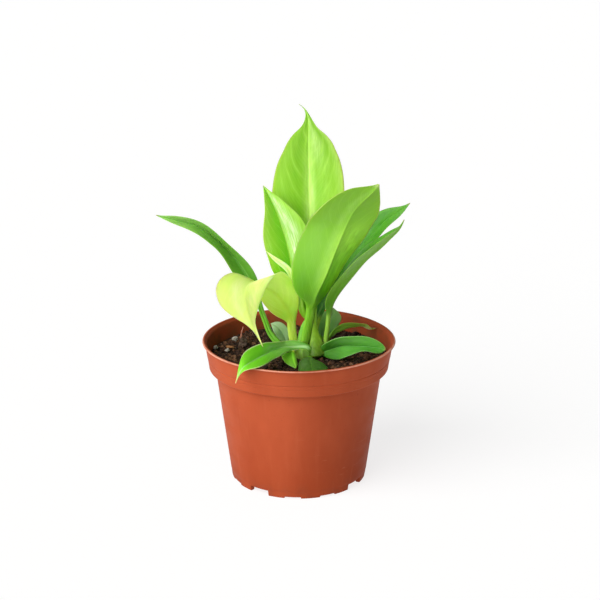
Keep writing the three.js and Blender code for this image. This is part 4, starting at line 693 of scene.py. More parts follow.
# ---- leaf mesh ---------------------------------------------------------------
def leaf(name, node, data, p, across=22, along=90, stalk_rows=26):
    up = data["upper"]
    rows = np.array(data["blade"], float)
    tt = np.array(data["t"], float)
    q = np.linspace(0, 1, along)
    q = 0.6 * q + 0.4 * (0.5 - 0.5 * np.cos(np.pi * q))
    m, l, r = (hermite(tt, rows[:, i : i + 3], q) for i in (0, 3, 6))
    pet = np.array(data["stalk"], float).reshape(-1, 5)
    ns = 0
    a0, b0 = data.get("root", (1.0, 0.7))
    if len(pet):
        a0, b0 = pet[-1][3], pet[-1][4]
        pts = np.vstack([pet[:, :3], m[0], m[6]])
        ab = np.vstack([pet[:, 3:], pet[-1, 3:], pet[-1, 3:]])
        acc = np.r_[0, np.cumsum(np.linalg.norm(np.diff(pts, axis=0), axis=1))]
        ns = stalk_rows
        sq = np.linspace(0, acc[-2], ns, endpoint=False)
        sp = hermite(acc, pts, sq)
        sab = hermite(acc, ab, sq)
        m = np.vstack([sp, m])
    n = len(m)
    tan = norm(np.gradient(m, axis=0))
    dist = np.r_[0, np.cumsum(np.linalg.norm(np.diff(m, axis=0), axis=1))]
    dist -= dist[ns]
    blade_len = dist[-1]
    L, R, A, B = (np.zeros((n, 3)) for _ in range(4))
    half_t = np.full(n, b0)
    k = smooth01((np.arange(n) >= ns) * dist / p.get("blend", 9.0))
    i0 = ns + 5
    ax = norm(r[5] - l[5])
    for i in range(n - 1, -1, -1):
        if i >= ns:
            j = i - ns
            lv, rv = l[j] - m[i], r[j] - m[i]
            if i > i0:
                ax = norm(r[j] - l[j])
            ax = norm(ax - tan[i] * (ax @ tan[i]))
            w = a0
        else:
            ax = norm(ax - tan[i] * (ax @ tan[i]))
            lv = rv = np.zeros(3)
            w = sab[i][0]
            half_t[i] = sab[i][1]
        kk = k[i]
        # the root of the blade is never narrower than the stalk
        wl, wr = np.linalg.norm(lv), np.linalg.norm(rv)
        dl = norm(-ax * (1 - kk) * w + lv * 1.0) if wl > 0 else -ax
        dr = norm(ax * (1 - kk) * w + rv * 1.0) if wr > 0 else ax
        wl = math.sqrt(wl**2 + (w * (1 - kk)) ** 2) if i < n - 1 else wl
        wr = math.sqrt(wr**2 + (w * (1 - kk)) ** 2) if i < n - 1 else wr
        L[i], R[i] = dl * wl, dr * wr
    nmid = norm(np.cross(R - L, tan)) * up
    nl = norm(np.cross(-L, tan)) * up
    nr = norm(np.cross(R, tan)) * up
    # cross-section
    s1 = np.linspace(0, 1, across + 1) ** 1.15
    sig = np.r_[-s1[::-1], s1[1:]]
    v_al = np.where(np.arange(n) >= ns, dist / blade_len, dist / 100.0)
    thin = (1 - p.get("taper", 0.0) * smooth01((v_al - 0.90) / 0.08))[:, None]
    L, R = L * thin, R * thin
    wl, wr = np.linalg.norm(L, axis=1), np.linalg.norm(R, axis=1)
    camber, rib_h, chan = p.get("camber", 0.05), p.get("rib_h", 0.75), p.get("chan", 0.35)
    th0 = p.get("th", 0.17)
    wave = p.get("wave", 0.0)
    pos, spn, mmv = [], [], []
    ring = list(range(len(sig)))
    cols = [(i, +1) for i in ring] + [(i, -1) for i in ring[-2:0:-1]]
    for idx, top in cols:
        sg = sig[idx]
        a = abs(sg)
        side = L if sg < 0 else R
        ws = wl if sg < 0 else wr
        nsd = nl if sg < 0 else nr
        f = smooth01(np.full(n, a * 5.0))[:, None]
        nn = norm(nmid * (1 - f) + nsd * f)
        dmm = a * ws
        kk = k
        rib_w = 0.55 + 0.75 * (1 - np.clip(v_al, 0, 1))
        fade = 1 - 0.85 * np.clip(v_al, 0, 1)
        g = np.exp(-((dmm / rib_w) ** 2))
        edge = math.sqrt(max(0.0, 1 - a**6))
        th = th0 * edge
        # side veins as shallow relief
        run = dmm / 10 * p.get("slant", 1.1) + (dmm / 10) ** 2 * p.get("bend", 0.25)
        ph = (dist / 10 - run + np.sign(sg) * p.get("offset", 0.13)) / p.get("spacing", 0.62)
        tri = np.abs(fract(ph) - 0.5) * 2
        quilt = (tri - 0.4) * p.get("quilt", 0.10) * np.clip(ws / 8.0, 0, 1) * math.sin(math.pi * min(1, a)) ** 0.6 * smooth01(v_al / 0.08)
        body = camber * ws * math.sin(math.pi * a**0.8) + quilt
        body = body + wave * a * a * np.sin(v_al * p.get("wave_f", 11.0) + (0 if sg < 0 else 1.7)) * smooth01(v_al * 5) * smooth01((1 - v_al) * 5)
        if top > 0:
            off_b = body + th - chan * fade * g * smooth01(v_al / 0.05 + 0.4)
        else:
            off_b = body - th - rib_h * fade * g * edge
        # stalk section: an oval with a shallow channel above, its points spaced by angle
        sr = math.sin(sg * math.pi / 2)
        cr = math.cos(sg * math.pi / 2)
        off_s = half_t * (cr if top > 0 else -cr) - (half_t * 0.4 * math.exp(-((sr / 0.4) ** 2)) if top > 0 else 0)
        across_f = (1 - kk) * abs(sr) + kk * a
        P = m + side * across_f[:, None] + nn * ((1 - kk) * off_s + kk * off_b)[:, None]
        pos.append(P)
        spn.append(np.stack([np.full(n, sg), v_al], 1))
        mmv.append(np.stack([np.sign(sg) * dmm / 10, dist / 10], 1))
    pos, spn, mmv = (np.array(x) for x in (pos, spn, mmv))  # column, row
    nc = len(cols)
    verts = pos.transpose(1, 0, 2).reshape(-1, 3)
    faces, mi, us, um = [], [], [], []
    for i in range(n - 1):
        for c in range(nc):
            c2 = (c + 1) % nc
            quad = [i * nc + c, i * nc + c2, (i + 1) * nc + c2, (i + 1) * nc + c]
            faces.append(quad)
            mi.append(0 if c < len(sig) - 1 else 1)
            for cc, ii in ((c, i), (c2, i), (c2, i + 1), (c, i + 1)):
                us.append(spn[cc, ii])
                um.append(mmv[cc, ii])
    base = len(verts)
    verts = np.vstack([verts, pos[:, 0].mean(0), pos[:, -1].mean(0)])
    for i, centre, rev in ((0, base, True), (n - 1, base + 1, False)):
        for c in range(nc):
            c2 = (c + 1) % nc
            tri3 = [i * nc + c, i * nc + c2, centre]
            cc = [c, c2, c]
            if rev:
                tri3 = tri3[::-1]
                cc = cc[::-1]
            faces.append(tri3)
            mi.append(0 if c < len(sig) - 1 else 1)
            for x in cc:
                us.append(spn[x, i])
                um.append(mmv[x, i])
    # outward faces
    vol = 0.0
    for f in faces:
        for t in range(1, len(f) - 1):
            vol += np.dot(verts[f[0]], np.cross(verts[f[t]], verts[f[t + 1]]))
    if vol < 0:
        k0 = 0
        us2, um2 = [], []
        for fi, f in enumerate(faces):
            e = len(f)
            us2 += us[k0 : k0 + e][::-1]
            um2 += um[k0 : k0 + e][::-1]
            faces[fi] = f[::-1]
            k0 += e
        us, um = us2, um2
    up_m = leaf_material(name + "_upper", p, False)
    un_m = leaf_material(name + "_under", p, True)
    ob = new_object(name, verts, faces, [up_m, un_m], True, mi, {"span": us, "mm": um})
    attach(ob, "root")
    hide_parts(node)
    return ob


LIME = dict(
    slot="leaf_lime",
    upper=[(0.0, (126, 200, 20)), (0.35, (140, 210, 40)), (1.0, (145, 205, 45))], upper_shade=(122, 196, 30),
    under=[(0.0, (100, 170, 20)), (0.35, (132, 192, 52)), (1.0, (125, 180, 40))], under_shade=(118, 178, 36),
    vein=(195, 242, 110), rib=(205, 248, 120), under_rib=(160, 214, 80), edge=(190, 236, 110),
    stalk=(112, 180, 28), stalk_hi=(150, 206, 66), stalk_low=(130, 186, 56), tip_at=0.955, tip=(176, 190, 130), tip_k=0.7,
)
GREEN = dict(
    slot="leaf_green",
    upper=[(0.0, (52, 118, 8)), (0.3, (70, 142, 22)), (1.0, (84, 158, 34))], upper_shade=(56, 124, 14),
    under=[(0.0, (80, 140, 30)), (0.3, (96, 154, 40)), (1.0, (100, 158, 44))], under_shade=(84, 142, 32),
    vein=(112, 176, 56), rib=(124, 184, 60), edge=(140, 194, 76),
    stalk=(100, 172, 28), stalk_hi=(140, 200, 60), stalk_low=(130, 180, 60),
    vein_k=0.16, fine_k=0.06, rib_k=0.45, sss=0.35, rough=0.38, spec=0.30, rib_w0=0.09, rib_w1=0.02, chan=0.12,
)
NEW = dict(
    slot="leaf_new",
    upper=[(0.0, (176, 232, 84)), (0.3, (194, 244, 108)), (0.72, (200, 244, 116)), (1.0, (214, 232, 140))], upper_shade=(184, 236, 98),
    under=[(0.0, (150, 190, 44)), (0.3, (160, 198, 56)), (1.0, (190, 220, 76))], under_shade=(146, 184, 40),
    vein=(236, 252, 150), rib=(230, 250, 140), under_rib=(176, 208, 60),
    stalk=(176, 214, 66), stalk_hi=(214, 236, 110), stalk_low=(190, 222, 84),
    vein_k=0.12, fine_k=0.04, rib_k=0.35, sss=1.0, rough=0.48, cloud=0.45, edge=(232, 248, 170),
)


def of(base, **kw):
    d = dict(base)
    d.update(kw)
    return d


LOOKS = {
    "leaf_tall_back": of(
        LIME, camber=0.055, slant=1.1, bend=2.2, spacing=1.25, vein_k=0.22, vein_w=0.24, fine_k=0.05, rib_w0=0.20, rib_w1=0.05, quilt=0.12, taper=0.45,
        rib_k=0.6, chan=0.2, cloud=0.45, streak=0.45, edge_k=0.3, edge_at=0.965,
        upper=[(0.0, (132, 194, 46)), (0.35, (136, 194, 49)), (0.8, (122, 174, 47)), (1.0, (106, 156, 44))], upper_shade=(120, 184, 38),
        # painted light in the bands: the pale patch high on the right half is painted sheen, and the pale band left of
        # the upper midrib lifts the fold's shade
        upper_bands=[(1, 0.05, 0.0, 0.22, -0.2, 0.5, 0.85, (214, 250, 160)), (1, 0.30, 0.0, 0.40, 0.66, 0.90, 0.7, (200, 236, 146)), (1, 0.92, 0.0, 0.22, 0.35, 0.9, 0.5, (200, 240, 140)), (0, 0.0, 0.0, 0.26, -0.2, 0.74, 0.7, (196, 242, 126)), (-1, 0.10, 0.0, 0.34, 0.60, 0.97, 0.75, (166, 222, 84)), (1, 0.55, 0.0, 0.5, 0.1, 0.7, 0.4, (170, 222, 92)), (-1, 0.80, 0.0, 0.3, 0.2, 0.75, 0.35, (160, 216, 90)), (-1, 0.35, 0.0, 0.25, 0.55, 0.95, 0.45, (108, 172, 38))],
    ),
    "leaf_folded_left": of(
        LIME, upper=[(0.0, (116, 196, 20)), (0.35, (140, 206, 50)), (1.0, (144, 202, 66))], rib_w0=0.08, rib_w1=0.05,
        slant=1.3, bend=1.8, spacing=0.9, camber=0.07, quilt=0.1,
        streak=0.75,
        # the whitish band right of the crease is painted sheen
        upper_bands=[(1, 0.26, 0.15, 0.50, 0.1, 0.92, 1.0, (228, 254, 196)), (1, 0.85, 0.0, 0.35, 0.1, 0.9, 0.5, (182, 236, 112)), (-1, 0.85, 0.0, 0.25, 0.35, 0.95, 0.55, (178, 226, 112)), (-1, 0.2, 0.0, 0.40, 0.10, 0.8, 0.75, (118, 212, 32))],
    ),
    "leaf_large_front": of(
        LIME, rib_h=0.35, camber=0.06, slant=1.2, bend=1.8, spacing=1.0, vein_k=0.06, fine_k=0.04, rib_k=0.25, rib_w0=0.16, rib_w1=0.06, quilt=0.06, sss=0.85,
        under=[(0.0, (96, 160, 26)), (0.35, (126, 180, 63)), (1.0, (112, 158, 46))],
        # painted glow on the right half, standing in for light coming through the blade
        under_glow=[(1, 0.5, 0.9, 0.2, 0.72, 0.12)],
        edge_k=0.25, edge=(170, 204, 110), edge_at=0.965, streak=0.35,
        # painted light: the pale band left of the midrib is painted sheen, and the lower right half is lightened to
        # lift its shade
        under_bands=[(-1, 0.18, 0.0, 0.18, 0.10, 0.97, 0.32, (160, 208, 106)), (-1, 0.62, 0.0, 0.35, 0.2, 0.75, 0.35, (144, 196, 88)), (-1, 0.5, 0.0, 0.9, -0.2, 0.16, 0.55, (92, 150, 26)), (1, 0.5, 0.0, 0.9, 0.12, 0.60, 1.0, (182, 236, 92)), (1, 0.6, 0.0, 0.8, 0.60, 0.9, 0.35, (122, 168, 52)), (1, 0.5, 0.0, 0.9, 0.8, 1.0, 0.5, (104, 148, 38))],
    ),
    "leaf_dark_right": of(GREEN, rib=(120, 188, 70), upper=[(0.0, (24, 80, 4)), (0.22, (42, 112, 8)), (0.45, (76, 150, 34)), (0.75, (84, 158, 44)), (1.0, (88, 154, 46))], upper_shade=(52, 130, 22),
        # the dark band down the left half is painted shadow cast by the large front leaf
        upper_bands=[(-1, 0.55, 0.0, 0.5, -0.2, 0.85, 0.8, (34, 112, 10)), (1, 0.25, 0.0, 0.25, 0.3, 0.8, 0.35, (110, 182, 62)), (1, 0.8, 0.0, 0.3, 0.2, 0.9, 0.4, (64, 140, 26))], stalk=(126, 166, 26), stalk_hi=(150, 190, 50), stalk_low=(128, 160, 44)),
    "leaf_narrow_right": of(GREEN, under=[(0.0, (86, 150, 34)), (0.3, (110, 166, 46)), (1.0, (116, 168, 56))], under_rib=(120, 140, 70), rib_w0=0.08, edge=(150, 196, 96), stalk=(128, 176, 56), stalk_hi=(156, 200, 84), stalk_low=(126, 168, 56)),
    # the broad pale midrib band is painted light that lifts the shade in the fold's crease
    "leaf_long_left": of(GREEN, chan=-0.1, rib_k=0.9, rib_k1=0.8, rib_in=0.5, rib_w0=0.20, rib_w1=0.16, rib=(134, 190, 92), upper=[(0.0, (84, 150, 36)), (0.5, (104, 160, 60)), (1.0, (138, 184, 96))], under=[(0.0, (96, 156, 50)), (0.5, (116, 168, 64)), (1.0, (126, 174, 76))], upper_shade=(76, 142, 40), stalk=(116, 198, 44), stalk_hi=(150, 218, 84), stalk_low=(122, 194, 64)),
    "leaf_new_drooping": of(NEW, camber=0.04, rib_h=0.2, chan=0.06, under=[(0.0, (166, 212, 52)), (0.22, (184, 228, 88)), (0.45, (200, 240, 116)), (1.0, (216, 240, 130))], under_shade=(168, 212, 62),
        # painted light and shade: the pale bands and the glows stand in for light through the young blade; the darker
        # band on the far lobe is painted shade
        upper_bands=[(-1, 0.30, 0.0, 0.35, 0.5, 0.8, 0.5, (228, 252, 176)), (1, 0.5, 0.0, 0.8, 0.2, 0.95, 0.9, (232, 255, 156)), (-1, 0.95, 0.0, 0.3, 0.36, 0.60, 0.7, (168, 206, 110))],
        under_bands=[(1, 0.55, 0.0, 0.35, 0.15, 0.6, 0.5, (196, 232, 110))],
        upper_glow=[(1, 0.6, 0.9, 0.1, 1.2, 0.36), (-1, 0.3, 0.7, 0.8, 1.2, 0.2)], under_glow=[(0, 0.4, 2.0, 0.14, 1.3, 0.21)]),
    # the glow on both sides is painted light standing in for light through the thin bract
    "bract_pointed": of(NEW, upper_glow=[(0, 0.5, 3.0, -0.3, 1.3, 0.25)], under_glow=[(0, 0.5, 3.0, -0.3, 1.3, 0.25)], rib_h=0.1, chan=0.1, cloud=0.1, upper=[(0.0, (210, 248, 130)), (0.5, (232, 255, 168)), (1.0, (226, 250, 168))], under=[(0.0, (200, 244, 120)), (0.5, (222, 252, 150)), (1.0, (220, 250, 150))]),
    # the pale midrib and the pale band on the right half near the root are painted highlight
    "leaf_low_front_left": of(GREEN, upper=[(0.0, (88, 160, 42)), (0.25, (140, 210, 96)), (0.42, (120, 206, 62)), (0.6, (114, 210, 36)), (1.0, (128, 220, 50))], upper_shade=(92, 180, 34), edge=(214, 240, 160), edge_k=0.9, edge_at=0.88, wave=0.2, chan=-0.08, rib_w0=0.09, rib_w1=0.06, rib=(190, 236, 160), rib_k=0.9, rib_k1=0.35, tip=(226, 196, 130), tip_at=0.90, tip_k=0.95,
        upper_bands=[(1, 0.45, 0.0, 0.4, 0.12, 0.5, 0.8, (170, 224, 140)), (-1, 0.3, 0.0, 0.4, 0.1, 0.45, 0.5, (146, 208, 108))]),
    "leaf_low_right": of(GREEN, upper=[(0.0, (48, 104, 22)), (0.2, (60, 122, 28)), (0.45, (86, 154, 58)), (1.0, (78, 150, 54))], upper_shade=(58, 128, 34), edge=(140, 200, 110), edge_k=0.7, edge_at=0.92, chan=-0.05, rib_k=0.4, rib_k1=0.3, rib=(110, 176, 84),
        upper_bands=[(-1, 0.6, 0.0, 0.35, 0.35, 0.7, 0.35, (126, 186, 110)), (1, 0.7, 0.0, 0.4, -0.2, 0.75, 0.6, (58, 124, 30))]),
    "leaf_curled_back_right": of(GREEN, upper=[(0.0, (122, 186, 54)), (0.5, (168, 226, 92)), (1.0, (216, 232, 150))], under=[(0.0, (114, 178, 50)), (0.5, (160, 220, 88)), (1.0, (210, 228, 146))], upper_shade=(124, 186, 54), under_shade=(118, 180, 50), rib_h=0.2, chan=0.08, sss=0.7),
    "leaf_small_back_right": of(GREEN, upper=[(0.0, (92, 144, 66)), (0.5, (114, 168, 84)), (1.0, (150, 190, 122))], under=[(0.0, (92, 144, 66)), (0.5, (114, 168, 84)), (1.0, (150, 190, 122))], upper_shade=(92, 146, 68), rib_h=0.3, rib=(120, 164, 100),
        upper_bands=[(1, 0.75, 0.0, 0.3, 0.2, 1.0, 0.6, (146, 182, 130)), (-1, 0.5, 0.0, 0.4, 0.2, 0.9, 0.3, (80, 132, 60))]),
    "leaf_small_back_left": of(GREEN, upper=[(0.0, (128, 170, 102)), (0.4, (142, 182, 124)), (1.0, (178, 212, 160))], under=[(0.0, (128, 170, 102)), (0.4, (142, 182, 124)), (1.0, (178, 212, 160))], upper_shade=(118, 158, 100), rib_h=0.2, vein=(170, 204, 160), rib=(150, 186, 136), cloud=0.6),
    "leaf_small_front": of(GREEN, upper=[(0.0, (80, 110, 56)), (0.4, (66, 102, 44)), (1.0, (56, 96, 34))], upper_shade=(54, 92, 34), rib_h=0.3, rib_k=0.12, chan=0.03, edge_k=0.3,
        upper_bands=[(-1, 0.55, 0.0, 0.5, -0.2, 0.7, 0.6, (88, 120, 72)), (1, 0.75, 0.0, 0.6, 0.0, 1.0, 0.8, (46, 90, 26))]),
    "leaf_small_front_left": of(GREEN, upper=[(0.0, (126, 214, 46)), (0.5, (148, 232, 66)), (1.0, (152, 226, 86))], upper_shade=(120, 210, 40), rib_h=0.3, rib_k=0.2, chan=0.05, edge=(170, 216, 130),
        # the dark band over the right half is painted shade on the half folded away from the light
        upper_bands=[(1, 0.75, 0.0, 0.6, -0.2, 1.0, 1.0, (72, 92, 24))]),
    "sheath_front": of(LIME, under=[(0.0, (132, 176, 76)), (0.5, (140, 190, 86)), (1.0, (150, 204, 96))], under_shade=(140, 164, 60), edge=(206, 232, 160), edge_k=0.8, edge_at=0.86, rib_k=0.0, rib_h=0.1, chan=0.0, tip_k=0.0, cloud=0.6),
}
SIZES = {"leaf_tall_back": (30, 130), "leaf_large_front": (30, 130), "leaf_new_drooping": (28, 120), "leaf_folded_left": (26, 100)}
for key, data in LEAVES.items():
    ac, al = SIZES.get(key, (16, 70))
    leaf(key + "_fine", key, data, LOOKS[key], across=ac, along=al)


# ---- pot ---------------------------------------------------------------------
def arc(cx, cz, r, a0, a1, n):
    return [(cx + r * math.cos(math.radians(a)), cz + r * math.sin(math.radians(a))) for a in np.linspace(a0, a1, n)]


def lerp_rows(a, b, n, skip=True):
    t = np.linspace(0, 1, n + 1)[(1 if skip else 0):]
    return [(a[0] + (b[0] - a[0]) * x, a[1] + (b[1] - a[1]) * x) for x in t]


def wall_in(z):
    if z >= COLLAR_BOTTOM_Z:
        return COLLAR_BOTTOM_R + (COLLAR_TOP_R - COLLAR_BOTTOM_R) * (z - COLLAR_BOTTOM_Z) / (RIM_TOP_Z - LIP_H - COLLAR_BOTTOM_Z) - WALL_T
    return WALL_BOTTOM_R + (WALL_TOP_R - WALL_BOTTOM_R) * (z - FOOT_STEP_Z) / (WALL_TOP_Z - FOOT_STEP_Z) - WALL_T


def pot_profile():
    """(radius, height) from the middle of the underside round to the middle of the floor."""
    p = [(0.0, 0.0)]
    p += lerp_rows((0.4, 0.0), (PAD_R - 0.4, 0.0), 4, False)
    p += arc(PAD_R - 0.4, 0.5, 0.5, -80, -20, 4)
    p += lerp_rows((PAD_R + 0.4, 0.8), (PAD_R + 2.0, FLOOR_UNDER_Z - 0.4), 3)
    p += [(PAD_R + 2.4, FLOOR_UNDER_Z - 0.05)]
    p += lerp_rows((PAD_R + 2.8, FLOOR_UNDER_Z), (FOOT_RING_IN_R - 0.5, FLOOR_UNDER_Z), 6)
    p += [(FOOT_RING_IN_R - 0.1, FLOOR_UNDER_Z - 0.15)]
    p += lerp_rows((FOOT_RING_IN_R, FLOOR_UNDER_Z - 0.4), (FOOT_RING_IN_R + 0.45, 0.35), 6)
    p += arc(FOOT_RING_IN_R + 0.85, 0.4, 0.4, 195, 270, 4)
    p += arc(FOOT_R - 0.5, 0.45, 0.45, 275, 355, 5)
    p += lerp_rows((FOOT_R, 0.6), (WALL_BOTTOM_R - 0.16, FOOT_STEP_Z - 0.35), 9)
    p += [(WALL_BOTTOM_R - 0.05, FOOT_STEP_Z - 0.08), (WALL_BOTTOM_R + 0.03, FOOT_STEP_Z + 0.12)]
    p += lerp_rows((WALL_BOTTOM_R + 0.06, FOOT_STEP_Z + 0.4), (WALL_TOP_R, WALL_TOP_Z - 0.2), 46)
    # rounded shoulder under the collar
    p += [(WALL_TOP_R + 0.12, WALL_TOP_Z + 0.12), (WALL_TOP_R + 0.45, WALL_TOP_Z + 0.33), (WALL_TOP_R + 1.1, WALL_TOP_Z + 0.5)]
    p += [(COLLAR_BOTTOM_R - 1.5, COLLAR_BOTTOM_Z - 1.2)]
    p += arc(COLLAR_BOTTOM_R - 1.05, COLLAR_BOTTOM_Z - 0.1, 1.05, -78, 0, 7)
    top = (COLLAR_TOP_R, RIM_TOP_Z - LIP_H - 0.25)
    rows = lerp_rows((COLLAR_BOTTOM_R + 0.03, COLLAR_BOTTOM_Z + 0.25), top, 60)
    p += [(r - 0.26 * math.exp(-(((z - GROOVE_Z) / 0.30) ** 2)) - 0.12 * math.exp(-(((z - 67.4) / 0.25) ** 2)) + 0.12 * smooth01((z - GROOVE_Z) / 1.0), z) for r, z in rows]
    # thin flared lip
    p += [(COLLAR_TOP_R + 0.12, RIM_TOP_Z - LIP_H - 0.08), (COLLAR_TOP_R + 0.40, RIM_TOP_Z - LIP_H + 0.06), (COLLAR_TOP_R + 0.9, RIM_TOP_Z - LIP_H + 0.2)]
    p += arc(RIM_OUTER_R - 0.45, RIM_TOP_Z - 0.55, 0.45, -75, 0, 6)
    p += arc(RIM_OUTER_R - 0.5, RIM_TOP_Z - 0.40, 0.40, 12, 88, 6)
    p += [(RIM_OUTER_R - 0.8, RIM_TOP_Z + 0.005)]
    inner = COLLAR_TOP_R - WALL_T
    p += arc(LIP_IN_R + 0.25, RIM_TOP_Z - 0.25, 0.25, 95, 165, 5)
    p += [(inner + 0.95, RIM_TOP_Z - 0.62), (inner + 0.60, RIM_TOP_Z - 0.96), (inner + 0.30, RIM_TOP_Z - 1.3), (inner + 0.10, RIM_TOP_Z - 1.65)]
    p += lerp_rows((inner, RIM_TOP_Z - 2.0), (COLLAR_BOTTOM_R - WALL_T, COLLAR_BOTTOM_Z + 0.4), 18)
    p += lerp_rows((COLLAR_BOTTOM_R - WALL_T - 0.8, COLLAR_BOTTOM_Z - 0.4), (WALL_TOP_R - WALL_T, WALL_TOP_Z - 0.6), 3)
    p += lerp_rows((WALL_TOP_R - WALL_T - 0.1, WALL_TOP_Z - 1.5), (WALL_BOTTOM_R - WALL_T, FLOOR_UNDER_Z + FLOOR_T + 0.8), 16)
    p += [(WALL_BOTTOM_R - WALL_T - 0.3, FLOOR_UNDER_Z + FLOOR_T + 0.25), (WALL_BOTTOM_R - WALL_T - 0.9, FLOOR_UNDER_Z + FLOOR_T)]
    p += lerp_rows((WALL_BOTTOM_R - WALL_T - 1.2, FLOOR_UNDER_Z + FLOOR_T), (PAD_R + 1.4, FLOOR_UNDER_Z + FLOOR_T), 5)
    p += lerp_rows((PAD_R + 1.0, FLOOR_UNDER_Z + FLOOR_T - 0.4), (PAD_R - 0.9, FLOOR_T + 0.2), 3)
    p += [(PAD_R - 4, FLOOR_T + 0.2), (0.0, FLOOR_T + 0.2)]
    return p


def rim_shift(a, z):
    """Thin plastic: the rim is a little out of round and out of level."""
    k = float(smooth01(np.array((z - 52.0) / 27.0)))
    dr = k * (RIM_WARP_R * math.cos(2 * (a - RIM_WARP_A)) + 0.18 * math.cos(3 * a + 0.7))
    dz = k * (RIM_WARP_Z * math.cos(a - RIM_TILT_A) + 0.10 * math.cos(3 * a + 2.1) * k)
    return dr, dz


RIM_WARP_R, RIM_WARP_A, RIM_WARP_Z, RIM_TILT_A = 0.12, math.radians(10), 0.0, 0.0


def pot():
    prof = pot_profile()
    # columns: even, with extra ones at the edge of each gap in the foot ring
    angs = set(np.round(np.arange(0, 360, 1.25), 4))
    gaps = []
    for i in range(FOOT_COUNT):
        slot = i % 3 == 2
        mid = FOOT_FIRST_DEG + i * 360 / FOOT_COUNT
        half = math.degrees((SLOT_W if slot else FOOT_GAP) / 2 / FOOT_R)
        gaps.append((mid, half, SLOT_H if slot else FOOT_GAP_H))
        for s in (-1, 1):
            for e in (-0.35, -0.1, 0.1, 0.35):
                angs.add(round((mid + s * (half + e)) % 360, 4))
    angs = np.array(sorted(angs))
    keep = [0]
    for i in range(1, len(angs)):
        if angs[i] - angs[keep[-1]] > 0.16:
            keep.append(i)
    angs = angs[keep]
    lift = np.zeros(len(angs))
    for mid, half, h in gaps:
        d = np.abs((angs - mid + 180) % 360 - 180)
        lift = np.maximum(lift, h * smooth01((half + 0.22 - d) / 0.44))
    zt_out = FOOT_STEP_Z - 0.8
    verts, rows = [], []
    n = len(angs)
    ring_lo = next(i for i, (r, z) in enumerate(prof) if r > FOOT_RING_IN_R - 0.2)
    ring_hi = next(i for i, (r, z) in enumerate(prof) if r > FOOT_RING_IN_R and z > FOOT_STEP_Z)
    for i, (r, z) in enumerate(prof):
        if r == 0:
            rows.append([len(verts)])
            verts.append((0, 0, z))
            continue
        row = []
        for j, deg in enumerate(angs):
            a = math.radians(deg)
            zz = z
            if ring_lo <= i < ring_hi and lift[j] > 0:
                top = FLOOR_UNDER_Z if r < FOOT_RING_IN_R + 0.55 else zt_out
                top = max(top, lift[j] + 0.15)
                if z < top:
                    zz = lift[j] + z * (top - lift[j]) / top
            dr, dz = rim_shift(a, z) if z > 40 else (0, 0)
            row.append(len(verts))
            verts.append(((r + dr) * math.cos(a), (r + dr) * math.sin(a), zz + dz))
        rows.append(row)
    faces = []
    for i in range(len(rows) - 1):
        a, b = rows[i], rows[i + 1]
        for j in range(n):
            k = (j + 1) % n
            if len(a) == 1:
                faces.append((a[0], b[k], b[j]))
            elif len(b) == 1:
                faces.append((a[j], a[k], b[0]))
            else:
                faces.append((a[j], a[k], b[k], b[j]))
    ob = new_object("nursery_pot_fine", verts, faces, [pot_material()], True)
    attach(ob, "root")
    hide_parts("nursery_pot")
    return ob


